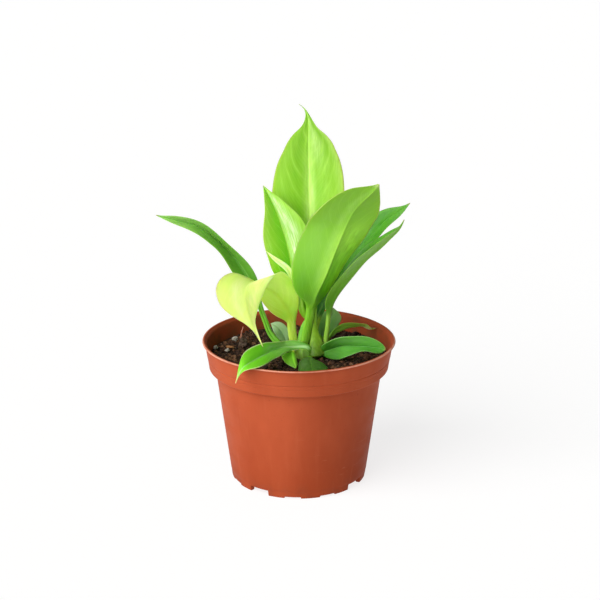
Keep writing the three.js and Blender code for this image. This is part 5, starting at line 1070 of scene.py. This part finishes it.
def pot_material():
    n = Nodes("terracotta_plastic")
    c = n.node("ShaderNodeTexCoord").outputs["Object"]
    sep = n.node("ShaderNodeSeparateXYZ")
    n.link(c, sep.inputs[0])
    x, y, z = sep.outputs

    def scaled(sx, sy, sz):
        m = n.node("ShaderNodeMapping")
        m.inputs["Scale"].default_value = (sx, sy, sz)
        n.link(c, m.inputs["Vector"])
        return m.outputs[0]

    cloudy = n.noise(scaled(30, 30, 18), 1.0, 3.0, 0.55)
    col = n.mix(n.ramp(cloudy, 0.3, 0.72), lin((172, 80, 49)), lin((158, 70, 41)))
    # painted shade: the wall darkens towards the bottom
    fade = n.math("MULTIPLY", n.ramp(z, 0.0, 0.048, 1.0, 0.0), n.ramp(cloudy, 0.25, 0.75, 0.6, 0.9))
    col = n.mix(fade, col, lin((142, 58, 29)))
    # faint upright streaks from the mould, and pale dust low down and in scuffs
    streak = n.noise(scaled(260, 260, 9), 1.0, 2.0, 0.6)
    col = n.mix(n.ramp(streak, 0.5, 0.8, 0.0, 0.14), col, lin((186, 98, 66)))
    specks = n.noise(scaled(900, 900, 900), 1.0, 2.0, 0.5)
    col = n.mix(n.ramp(specks, 0.66, 0.78, 0.0, 0.35), col, lin((120, 48, 32)))
    scuff = n.math("MULTIPLY", n.ramp(n.noise(scaled(55, 55, 420), 1.0, 4.0, 0.65), 0.60, 0.74), n.ramp(n.noise(scaled(22, 22, 22), 1.0, 1.0), 0.52, 0.66))
    col = n.mix(n.math("MULTIPLY", scuff, 0.28), col, lin((214, 140, 112)))
    low = n.ramp(z, 0.0, 0.012, 1.0, 0.0)
    dirt = n.math("MULTIPLY", low, n.ramp(n.noise(scaled(120, 120, 120), 1.0, 3.0), 0.42, 0.62))
    col = n.mix(n.math("MULTIPLY", dirt, 0.35), col, lin((120, 62, 44)))
    # soil dust dulls the inside of the wall
    rad = n.math("SQRT", n.math("ADD", n.math("MULTIPLY", x, x), n.math("MULTIPLY", y, y)))
    inside = n.math("MULTIPLY", n.ramp(z, 0.066, 0.069), n.ramp(n.math("SUBTRACT", rad, n.math("MULTIPLY", z, 0.137)), 0.03965, 0.03990, 1.0, 0.0))
    dust = n.ramp(n.math("SUBTRACT", n.noise(scaled(90, 90, 140), 1.0, 4.0, 0.6), n.math("MULTIPLY", n.math("SUBTRACT", z, 0.07), 9.0)), 0.36, 0.62, 0.1, 0.7)
    col = n.mix(n.math("MULTIPLY", inside, dust), col, lin((116, 74, 46)))
    # painted highlight: the rounded outer edge of the lip is painted pale where it catches the light
    lip = n.math("MULTIPLY", n.ramp(z, (RIM_TOP_Z - 0.9) * MM, (RIM_TOP_Z - 0.3) * MM), n.ramp(rad, (RIM_OUTER_R - 0.9) * MM, (RIM_OUTER_R - 0.25) * MM))
    lip_highlight_breakup = n.ramp(n.noise(scaled(160, 160, 160), 1.0, 3.0), 0.25, 0.6, 0.45, 1.0)
    col = n.mix(n.math("MULTIPLY", lip, n.math("MULTIPLY", lip_highlight_breakup, 0.7)), col, lin((226, 168, 144)))
    n.link(col, n.bsdf.inputs["Base Color"])
    fine = n.noise(scaled(1500, 1500, 1500), 1.0, 2.0, 0.6)
    wavy = n.noise(scaled(70, 70, 26), 1.0, 2.0, 0.5)
    h = n.math("ADD", n.math("MULTIPLY", fine, 0.25), n.math("ADD", n.math("MULTIPLY", wavy, 2.2), n.math("MULTIPLY", scuff, 0.3)))
    n.link(n.bump(h, 0.3, 0.0003), n.bsdf.inputs["Normal"])
    n.link(n.ramp(n.noise(scaled(60, 60, 160), 1.0, 3.0), 0.3, 0.7, 0.46, 0.60), n.bsdf.inputs["Roughness"])
    b = n.bsdf.inputs
    b["IOR"].default_value = 1.46
    b["Specular IOR Level"].default_value = 0.05
    b["Subsurface Weight"].default_value = 0.08
    b["Subsurface Radius"].default_value = (1.0, 0.25, 0.1)
    b["Subsurface Scale"].default_value = 0.001
    return n.mat


pot()


# ---- potting mix ---------------------------------------------------------------
def soil_height(x, y):
    """Height of the mix above its mean level, mm."""
    h = 0.9 * mnoise.noise((x * 0.10, y * 0.10, 3.1))
    h += 0.55 * mnoise.noise((x * 0.33, y * 0.33, 7.7))
    h += 0.34 * mnoise.noise((x * 0.9, y * 0.9, 1.3))
    h += 0.16 * mnoise.noise((x * 2.3, y * 2.3, 5.9))
    return h


def lump(centre, half, turn, tilt, seed, cells, rough=0.35, angular=0.0):
    """Closed irregular lump as (verts, faces)."""
    v, f = cells
    out = []
    ct, st = math.cos(turn), math.sin(turn)
    cx, sx = math.cos(tilt), math.sin(tilt)
    for px, py, pz in v:
        k = 1 + rough * mnoise.noise((px * 1.6 + seed * 3.1, py * 1.6 - seed, pz * 1.6 + seed * 0.7)) * 2
        if angular:
            k *= 1 + angular * mnoise.cell((px * 1.3 + seed, py * 1.3 + seed * 2, pz * 1.3))
        x, y, z = px * k * half[0], py * k * half[1], pz * k * half[2]
        y, z = y * cx - z * sx, y * sx + z * cx
        x, y = x * ct - y * st, x * st + y * ct
        out.append((centre[0] + x, centre[1] + y, centre[2] + z))
    return out, f


def ico(sub):
    import bmesh
    bm = bmesh.new()
    bmesh.ops.create_icosphere(bm, subdivisions=sub, radius=1.0)
    v = [tuple(a.co) for a in bm.verts]
    f = [tuple(a.index for a in fa.verts) for fa in bm.faces]
    bm.free()
    return v, f


ICO1, ICO2, ICO3, ICO4 = ico(1), ico(2), ico(3), ico(4)


def soil_material(name="peat", a=(68, 46, 34), b=(24, 15, 11), c=(128, 94, 70)):
    n = Nodes(name)
    v = n.coords((1, 1, 1))
    coarse = n.noise(v, 420.0, 3.0, 0.6)
    fine = n.noise(v, 2200.0, 3.0, 0.65)
    col = n.mix(n.ramp(coarse, 0.35, 0.65), lin(a), lin(b))
    col = n.mix(n.ramp(fine, 0.55, 0.75, 0.0, 0.65), col, lin(c))
    fib = n.noise(n_stretch3(n, v, (3200, 500, 2600)), 1.0, 2.0)
    col = n.mix(n.ramp(fib, 0.66, 0.76, 0.0, 0.5), col, lin((120, 84, 54)))
    fleck = n.noise(v, 1300.0, 1.0, 0.5)
    col = n.mix(n.ramp(fleck, 0.68, 0.75, 0.0, 0.7), col, lin((176, 150, 130)))
    n.link(col, n.bsdf.inputs["Base Color"])
    n.link(n.bump(n.math("ADD", n.math("MULTIPLY", fine, 0.6), coarse), 0.9, 0.0005), n.bsdf.inputs["Normal"])
    n.link(n.ramp(coarse, 0.3, 0.7, 0.62, 0.92), n.bsdf.inputs["Roughness"])
    n.bsdf.inputs["Specular IOR Level"].default_value = 0.22
    return n.mat


def n_stretch3(n, vec, s):
    m = n.node("ShaderNodeMapping")
    m.inputs["Scale"].default_value = s
    n.link(vec, m.inputs["Vector"])
    return m.outputs[0]


def tube(pts, radii, sides=6):
    """Closed tube along pts, as (verts, faces)."""
    pts = np.asarray(pts, float)
    tan = norm(np.gradient(pts, axis=0))
    ref = np.array([0.0, 0.0, 1.0]) if abs(tan[0][2]) < 0.9 else np.array([1.0, 0.0, 0.0])
    verts, faces = [], []
    u = norm(np.cross(tan[0], ref))
    for i, p in enumerate(pts):
        u = norm(u - tan[i] * (u @ tan[i]))
        w = np.cross(tan[i], u)
        for j in range(sides):
            a = 2 * math.pi * j / sides
            verts.append(tuple(p + radii[i] * (math.cos(a) * u + math.sin(a) * w)))
    for i in range(len(pts) - 1):
        for j in range(sides):
            k = (j + 1) % sides
            faces.append((i * sides + j, i * sides + k, (i + 1) * sides + k, (i + 1) * sides + j))
    faces.append(tuple(range(sides))[::-1])
    faces.append(tuple((len(pts) - 1) * sides + j for j in range(sides)))
    return verts, faces


def merge(parts):
    verts, faces, mi = [], [], []
    for v, f, m in parts:
        o = len(verts)
        verts += list(v)
        faces += [tuple(i + o for i in fa) for fa in f]
        mi += [m] * len(f)
    return verts, faces, mi


def potting_mix():
    r_out = wall_in(SOIL_Z) - 0.15
    radii = list(np.linspace(0, r_out, 120))[1:]
    n = 300
    verts, rows = [(0, 0, SOIL_Z + soil_height(0, 0))], [[0]]
    for r in radii:
        row = []
        for j in range(n):
            a = 2 * math.pi * j / n
            x, y = r * math.cos(a), r * math.sin(a)
            edge = float(smooth01(np.array((r_out - r) / 2.5)))
            row.append(len(verts))
            verts.append((x, y, SOIL_Z + soil_height(x, y) * (0.35 + 0.65 * edge) - 0.5 * (1 - edge)))
        rows.append(row)
    for r, z in ((r_out - 0.1, SOIL_Z - 3.0), (COLLAR_BOTTOM_R - WALL_T - 0.5, COLLAR_BOTTOM_Z + 1.2), (WALL_TOP_R - WALL_T - 0.4, WALL_TOP_Z - 0.6), (WALL_BOTTOM_R - WALL_T - 0.3, FLOOR_UNDER_Z + FLOOR_T + 1.6), (WALL_BOTTOM_R - WALL_T - 2, FLOOR_UNDER_Z + FLOOR_T + 0.15)):
        row = []
        for j in range(n):
            a = 2 * math.pi * j / n
            row.append(len(verts))
            verts.append((r * math.cos(a), r * math.sin(a), z))
        rows.append(row)
    rows.append([len(verts)])
    verts.append((0, 0, FLOOR_UNDER_Z + FLOOR_T + 0.15))
    faces = []
    for i in range(len(rows) - 1):
        a, b = rows[i], rows[i + 1]
        for j in range(n):
            k = (j + 1) % n
            if len(a) == 1:
                faces.append((a[0], b[j], b[k]))
            elif len(b) == 1:
                faces.append((a[j], b[0], a[k]))
            else:
                faces.append((a[j], b[j], b[k], a[k]))
    parts = [(verts, faces, 0)]
    r0 = random.Random(11)
    for i in range(1500):
        big = r0.random()
        size = 0.45 + 1.6 * big**3
        while True:
            x, y = r0.uniform(-r_out, r_out), r0.uniform(-r_out, r_out)
            rr = math.hypot(x, y)
            if rr < r_out - size * 1.1 and math.hypot(x - CROWN[0], y - CROWN[1]) > 8.5:
                break
        half = (size * r0.uniform(0.8, 1.3), size * r0.uniform(0.7, 1.0), size * r0.uniform(0.55, 0.85))
        z = SOIL_Z + soil_height(x, y) + half[2] * r0.uniform(-0.1, 0.45)
        v, f = lump((x, y, z), half, r0.uniform(0, 6.28), r0.uniform(-0.6, 0.6), i * 0.37, ICO2 if size > 0.8 else ICO1, 0.30)
        m = 0 if r0.random() < 0.5 else (1 if r0.random() < 0.62 else 2)
        parts.append((v, f, m))
    for i in range(260):
        a, rr = r0.uniform(0, 6.28), r_out * math.sqrt(r0.random()) * 0.95
        x, y = rr * math.cos(a), rr * math.sin(a)
        d, ln = r0.uniform(0, 6.28), r0.uniform(2.5, 9)
        pts = []
        for s in np.linspace(-0.5, 0.5, 9):
            px = x + math.cos(d) * s * ln + 0.8 * math.sin(s * 5 + i)
            py = y + math.sin(d) * s * ln + 0.8 * math.cos(s * 4 + i)
            q = math.hypot(px, py)
            if q > r_out - 0.6:
                px, py = px * (r_out - 0.6) / q, py * (r_out - 0.6) / q
            pts.append((px, py, SOIL_Z + soil_height(px, py) + 0.35 + 0.5 * math.cos(s * 6 + i * 1.7)))
        thick = 0.10 + 0.10 * (i % 5 == 0)
        parts.append((*tube(pts, [thick + 0.05 * math.sin(k + i) for k in range(9)], 5), 1 if i % 3 else 2))
    v, f, mi = merge(parts)
    ob = new_object("potting_mix_fine", v, f, [soil_material(), soil_material("coir", (118, 82, 56), (70, 46, 30), (164, 124, 88)), soil_material("fine_bark", (92, 58, 36), (48, 30, 18), (176, 130, 86))], True, mi)
    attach(ob, "root")
    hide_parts("potting_mix")


potting_mix()


# ---- crown ---------------------------------------------------------------------
def crown():
    prof = [(0, 52.2, 0), (3.4, 52.2, 0), (5.2, 55, 0), (6.1, 63, 0), (7.3, 68.0, 0), (7.9, 70.2, 0.2), (7.7, 72.0, 0.45), (7.2, 73.8, 0.7), (6.2, 75.4, 0.9), (4.6, 76.6, 1), (2.4, 77.2, 1), (0, 77.4, 1)]
    t = np.linspace(0, 1, len(prof))
    fine = hermite(t, np.array(prof, float), np.linspace(0, 1, 70))
    n = 96
    verts, rows = [], []
    for i, (r, z, lean) in enumerate(fine):
        cx, cy = CROWN[0] + 3.6 * lean, CROWN[1] + 1.2 * lean
        if i in (0, len(fine) - 1):
            rows.append([len(verts)])
            verts.append((cx, cy, z))
            continue
        row = []
        for j in range(n):
            a = 2 * math.pi * j / n
            k = 1 + 0.07 * mnoise.noise((math.cos(a) * 1.6, math.sin(a) * 1.6, z * 0.22)) + 0.035 * math.sin(5 * a + z * 0.25) + 0.02 * mnoise.noise((math.cos(a) * 7, math.sin(a) * 7, z * 0.9))
            row.append(len(verts))
            verts.append((cx + max(r, 0.02) * k * math.cos(a), cy + max(r, 0.02) * k * math.sin(a), z))
        rows.append(row)
    faces = []
    for i in range(len(rows) - 1):
        a, b = rows[i], rows[i + 1]
        for j in range(n):
            k = (j + 1) % n
            if len(a) == 1:
                faces.append((a[0], b[k], b[j]))
            elif len(b) == 1:
                faces.append((a[j], a[k], b[0]))
            else:
                faces.append((a[j], a[k], b[k], b[j]))
    n_ = Nodes("crown_stem")
    v = n_.coords()
    sep = n_.node("ShaderNodeSeparateXYZ")
    n_.link(v, sep.inputs[0])
    up = n_.ramp(n_.math("ADD", sep.outputs[2], n_.math("MULTIPLY", n_.noise(v, 300.0, 2.0), 0.003)), 0.0700, 0.0735)
    col = n_.mix(up, lin((80, 74, 38)), lin((106, 152, 40)))
    col = n_.mix(n_.ramp(n_.noise(n_stretch3(n_, v, (900, 900, 120)), 1.0, 3.0), 0.45, 0.7, 0.0, 0.7), col, lin((138, 182, 68)))
    col = n_.mix(n_.ramp(n_.noise(n_stretch3(n_, v, (700, 700, 90)), 1.3, 2.0), 0.5, 0.7, 0.0, 0.5), col, lin((82, 104, 26)))
    n_.link(col, n_.bsdf.inputs["Base Color"])
    n_.link(n_.bump(n_.noise(n_stretch3(n_, v, (1200, 1200, 200)), 1.0, 3.0), 0.5, 0.0004), n_.bsdf.inputs["Normal"])
    n_.link(n_.ramp(n_.noise(v, 500.0, 2.0), 0.3, 0.7, 0.45, 0.6), n_.bsdf.inputs["Roughness"])
    n_.bsdf.inputs["Subsurface Weight"].default_value = 0.3
    n_.bsdf.inputs["Subsurface Radius"].default_value = (0.7, 1.0, 0.3)
    n_.bsdf.inputs["Subsurface Scale"].default_value = 0.001
    ob = new_object("crown_fine", verts, faces, [n_.mat], True)
    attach(ob, "root")
    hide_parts("crown")
    return n_.mat


crown()

# Sheath of the large leaf's stalk and dry scales on the crown: thin closed flaps.
# Rows from the base up: left edge, middle, right edge.
FLAPS = {
    "leaf_large_front_sheath": [
        (-1.3, -4.4, 74.4, 0.3, -5.6, 74.8, 2.1, -5.8, 74.9),
        (-0.6, -4.2, 79.0, 0.7, -5.5, 79.4, 2.5, -5.6, 79.5),
        (0.1, -4.1, 83.6, 1.6, -5.2, 84.0, 3.3, -5.4, 84.0),
        (1.4, -4.2, 87.9, 2.7, -5.0, 88.2, 4.2, -5.1, 88.2),
        (2.9, -4.4, 90.9, 3.4, -4.7, 91.0, 4.3, -4.8, 91.0),
    ],
    "crown_fan": [
        (6.1, -9.4, 72.4, 9.4, -10.6, 72.1, 14.5, -7.4, 72.2),
        (5.9, -7.8, 75.6, 9.2, -8.8, 75.7, 13.8, -5.8, 75.7),
        (6.2, -5.8, 79.0, 9.2, -6.4, 79.2, 13.0, -4.4, 79.0),
        (6.7, -4.6, 82.6, 9.1, -4.7, 82.6, 11.4, -3.3, 82.4),
        (7.4, -4.0, 86.4, 8.9, -3.6, 86.3, 10.4, -2.0, 85.7),
        (7.9, -2.6, 90.0, 8.9, -2.4, 89.9, 10.0, -1.3, 89.5),
        (8.3, -1.9, 93.2, 9.0, -1.8, 93.2, 9.9, -0.9, 92.9),
        (8.5, -1.6, 96.6, 9.1, -1.6, 96.6, 10.0, -0.7, 96.3),
        (9.1, -1.3, 99.6, 9.4, -1.3, 99.6, 10.0, -0.6, 99.4),
    ],
    "leaf_large_front_edge": [
        (2.7, -2.6, 91.7, 3.3, -2.9, 92.0, 4.2, -3.0, 92.4),
        (0.8, -2.5, 94.3, 2.2, -2.8, 94.7, 3.8, -2.9, 95.3),
        (-0.4, -2.4, 97.4, 1.1, -2.7, 97.8, 3.1, -2.8, 98.4),
        (-0.8, -2.3, 100.8, 0.5, -2.6, 101.2, 2.2, -2.7, 101.5),
        (-0.7, -2.3, 104.2, 0.1, -2.4, 104.2, 1.0, -2.5, 104.3),
    ],
}


def flap(rows, th=0.28, across=14, along=36):
    rows = np.array(rows, float)
    p = hermite(np.linspace(0, 1, len(rows)), rows, np.linspace(0, 1, along))
    s = np.sin(np.linspace(-1, 1, across + 1) * math.pi / 2)[None, :, None]
    l, m, r = p[:, None, :3], p[:, None, 3:6], p[:, None, 6:]
    grid = l * (s * (s - 1) / 2) + m * (1 - s * s) + r * (s * (s + 1) / 2)
    nrm = norm(np.cross(np.gradient(grid, axis=1), np.gradient(grid, axis=0)))
    end = np.sqrt(np.clip(1 - np.linspace(0, 1, along) ** 8, 0.04, 1))[:, None, None]
    off = nrm * np.sqrt(np.clip(1 - s**6, 0, 1)) * th * end
    ring = np.concatenate([grid + off, (grid - off)[:, -2:0:-1]], axis=1)
    n, nc = ring.shape[:2]
    verts = np.vstack([ring.reshape(-1, 3), ring[0].mean(0), ring[-1].mean(0)])
    faces = []
    for i in range(n - 1):
        for c in range(nc):
            k = (c + 1) % nc
            faces.append((i * nc + c, i * nc + k, (i + 1) * nc + k, (i + 1) * nc + c))
    for c in range(nc):
        k = (c + 1) % nc
        faces.append((k, c, n * nc))
        faces.append(((n - 1) * nc + c, (n - 1) * nc + k, n * nc + 1))
    vol = sum(np.dot(verts[f[0]], np.cross(verts[f[i]], verts[f[i + 1]])) for f in faces for i in range(1, len(f) - 1))
    return verts, [f[::-1] for f in faces] if vol < 0 else faces


def sheath_material(name, low, high, z0=0.060, z1=0.062, lines=0.35):
    n = Nodes(name)
    v = n.coords()
    streak = n.noise(n_stretch3(n, v, (900, 900, 110)), 1.0, 3.0, 0.6)
    sep = n.node("ShaderNodeSeparateXYZ")
    n.link(v, sep.inputs[0])
    up = n.ramp(n.math("ADD", sep.outputs[2], n.math("MULTIPLY", n.math("SUBTRACT", streak, 0.5), 0.006)), z0, z1)
    tone = n.mix(up, lin(low), lin(high))
    pale = n.mix(lines, tone, lin((190, 226, 110)))
    col = n.mix(n.ramp(streak, 0.4, 0.72), tone, pale)
    fine = n.noise(v, 1600.0, 2.0)
    col = n.mix(n.math("MULTIPLY", n.ramp(fine, 0.6, 0.8), 0.25), col, lin([c * 0.75 for c in low]))
    n.link(col, n.bsdf.inputs["Base Color"])
    n.link(n.bump(streak, 0.5, 0.0003), n.bsdf.inputs["Normal"])
    n.link(n.ramp(fine, 0.3, 0.7, 0.44, 0.58), n.bsdf.inputs["Roughness"])
    b = n.bsdf.inputs
    b["Subsurface Weight"].default_value = 0.7
    b["Subsurface Radius"].default_value = (0.8, 1.0, 0.2)
    b["Subsurface Scale"].default_value = 0.0016
    b["Specular IOR Level"].default_value = 0.25
    return n.mat


SHEATHS = {
    "leaf_large_front_sheath": sheath_material("sheath_green", (116, 190, 60), (120, 192, 66)),
    "crown_fan": sheath_material("sheath_olive", (84, 122, 30), (134, 182, 36), 0.071, 0.086, 0.14),
    "leaf_large_front_edge": sheath_material("sheath_dark", (112, 164, 30), (118, 170, 26)),
}
for key, rows in FLAPS.items():
    v, f = flap(rows)
    ob = new_object(key, v, f, [SHEATHS[key]], True)
    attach(ob, "root")


# ---- loose bits ------------------------------------------------------------------
def perlite_material():
    n = Nodes("perlite")
    v = n.coords()
    a = n.noise(v, 900.0, 3.0, 0.6)
    col = n.mix(n.ramp(a, 0.35, 0.65), lin((196, 190, 178)), lin((140, 132, 120)))
    pits = n.node("ShaderNodeTexVoronoi")
    n.link(v, pits.inputs["Vector"])
    pits.inputs["Scale"].default_value = 1500.0
    hole = n.ramp(pits.outputs["Distance"], 0.05, 0.35, 1.0, 0.0)
    col = n.mix(n.math("MULTIPLY", hole, 0.5), col, lin((110, 98, 86)))
    n.link(col, n.bsdf.inputs["Base Color"])
    n.link(n.bump(n.math("SUBTRACT", a, hole), 0.8, 0.0004), n.bsdf.inputs["Normal"])
    n.link(n.ramp(a, 0.3, 0.7, 0.75, 0.95), n.bsdf.inputs["Roughness"])
    return n.mat


def bark_material(name, a, b, grain=(2600, 300, 1800)):
    n = Nodes(name)
    v = n.coords()
    g = n.noise(n_stretch3(n, v, grain), 1.0, 3.0, 0.6)
    col = n.mix(n.ramp(g, 0.35, 0.65), lin(a), lin(b))
    f = n.noise(v, 1800.0, 3.0, 0.6)
    col = n.mix(n.ramp(f, 0.6, 0.75, 0.0, 0.4), col, lin([x * 0.5 for x in b]))
    n.link(col, n.bsdf.inputs["Base Color"])
    n.link(n.bump(g, 0.8, 0.0005), n.bsdf.inputs["Normal"])
    n.link(n.ramp(f, 0.3, 0.7, 0.6, 0.85), n.bsdf.inputs["Roughness"])
    return n.mat


PERLITE = perlite_material()
BITS = {
    # node: (centre, half sizes, turn, tilt, seed, cells, roughness, angular, material, slot)
    "perlite_large": ((-36.0, 20.1, 71.6), (1.65, 1.45, 1.6), 0.4, 0.2, 3.3, ICO4, 0.22, 0.10, PERLITE, "perlite"),
    "perlite_left": ((-46.3, 7.6, 71.1), (1.4, 1.15, 1.05), 1.2, 0.1, 5.1, ICO3, 0.25, 0.10, PERLITE, "perlite"),
    "perlite_front": ((-39.6, 3.0, 71.0), (1.35, 1.0, 0.95), -0.3, 0.3, 9.4, ICO3, 0.25, 0.10, PERLITE, "perlite"),
    "bark_chip": ((-38.2, 8.5, 71.0), (2.3, 1.0, 0.7), -0.2, 0.3, 12.2, ICO3, 0.20, 0.15, bark_material("bark_tan", (176, 122, 70), (120, 78, 44)), "bark"),
    "bark_lump": ((-30.9, 12.8, 72.1), (2.2, 2.6, 2.7), 0.3, 0.2, 21.7, ICO4, 0.30, 0.15, bark_material("bark_dark", (92, 72, 54), (52, 38, 28)), "bark"),
}
for key, (c, half, turn, tilt, seed, cells, rough, angular, mat, slot_name) in BITS.items():
    v, f = lump(c, half, turn, tilt, seed, cells, rough, angular)
    ob = new_object(key + "_fine", v, f, [mat], True)
    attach(ob, "root")
    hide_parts(key)
tw = [(-32.9, 22.2, 69.6), (-32.6, 22.4, 71.5), (-32.4, 22.5, 73.4), (-32.1, 22.7, 75.2), (-31.6, 22.9, 76.8), (-31.2, 23.0, 78.0)]
tw = hermite(np.linspace(0, 1, 6), np.array(tw), np.linspace(0, 1, 22))
v, f = tube(tw, [0.62 + 0.10 * math.sin(i * 1.1) - 0.012 * i for i in range(22)], 14)
ob = new_object("twig_pale_fine", v, f, [bark_material("twig", (190, 128, 104), (150, 92, 70), (2600, 2600, 260))], True)
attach(ob, "root")
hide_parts("twig_pale")

# ---- floor, lights, camera --------------------------------------------------------
fl = bpy.data.meshes.new("floor")
fn = 96
fl.from_pydata([(7 * math.cos(2 * math.pi * i / fn), 7 * math.sin(2 * math.pi * i / fn), 0) for i in range(fn)], [], [tuple(range(fn))])
floor = bpy.data.objects.new("floor", fl)
bpy.context.scene.collection.objects.link(floor)
fm = Nodes("floor_paper")
fm.bsdf.inputs["Base Color"].default_value = (0.24, 0.24, 0.24, 1)
fm.bsdf.inputs["Emission Color"].default_value = (1, 1, 1, 1)
fm.bsdf.inputs["Emission Strength"].default_value = 0.795
fm.bsdf.inputs["Roughness"].default_value = 0.9
fm.bsdf.inputs["Specular IOR Level"].default_value = 0.1
fl.materials.append(fm.mat)

world = bpy.data.worlds.new("studio")
bpy.context.scene.world = world
world.use_nodes = True
wb = world.node_tree.nodes["Background"]
wb.inputs[0].default_value = (1.0, 1.0, 1.0, 1)
# a pale backdrop all round, a dimmer room above it
wt = world.node_tree
sky = wt.nodes.new("ShaderNodeTexCoord")
split = wt.nodes.new("ShaderNodeSeparateXYZ")
fall = wt.nodes.new("ShaderNodeMapRange")
fall.interpolation_type = "SMOOTHSTEP"
for socket, value in (("From Min", 0.165), ("From Max", 0.235), ("To Min", 0.68), ("To Max", 0.11)):
    fall.inputs[socket].default_value = value
wt.links.new(sky.outputs["Generated"], split.inputs[0])
wt.links.new(split.outputs[2], fall.inputs["Value"])
wt.links.new(fall.outputs[0], wb.inputs[1])


def area(name, at, aim, size, power, colour=(1, 1, 1)):
    li = bpy.data.lights.new(name, "AREA")
    li.shape = "RECTANGLE"
    li.size, li.size_y = size
    li.energy = power
    li.color = colour
    ob = bpy.data.objects.new(name, li)
    ob.location = at
    ob.rotation_euler = (Vector(aim) - Vector(at)).to_track_quat("-Z", "Y").to_euler()
    bpy.context.scene.collection.objects.link(ob)


sun = bpy.data.lights.new("key", "SUN")
sun.energy = 4.0
sun.angle = math.radians(60)
sun.color = (1.0, 0.99, 0.97)
sun_ob = bpy.data.objects.new("key", sun)
az, el = math.radians(-46), math.radians(34)
sun_dir = Vector((math.sin(az) * math.cos(el), -math.cos(az) * math.cos(el), math.sin(el)))
sun_ob.rotation_euler = sun_dir.to_track_quat("Z", "Y").to_euler()
sun_ob.location = sun_dir * 2
bpy.context.scene.collection.objects.link(sun_ob)

cam_data = bpy.data.cameras.new("camera")
cam = bpy.data.objects.new("camera", cam_data)
bpy.context.scene.collection.objects.link(cam)
cam_data.sensor_fit = "HORIZONTAL"
cam_data.sensor_width = 36.0
cam_data.lens = CAM_F / 600.0 * 36.0
cam_data.clip_start, cam_data.clip_end = 0.05, 50
tilt = math.radians(CAM_TILT)
cam.location = (
    CAM_AIM[0] * MM,
    (CAM_AIM[1] - CAM_DIST * math.cos(tilt)) * MM,
    (CAM_AIM[2] + CAM_DIST * math.sin(tilt)) * MM,
)
cam.rotation_euler = (math.pi / 2 - tilt, 0, 0)
bpy.context.scene.camera = cam
bpy.context.scene.view_settings.view_transform = "Standard"
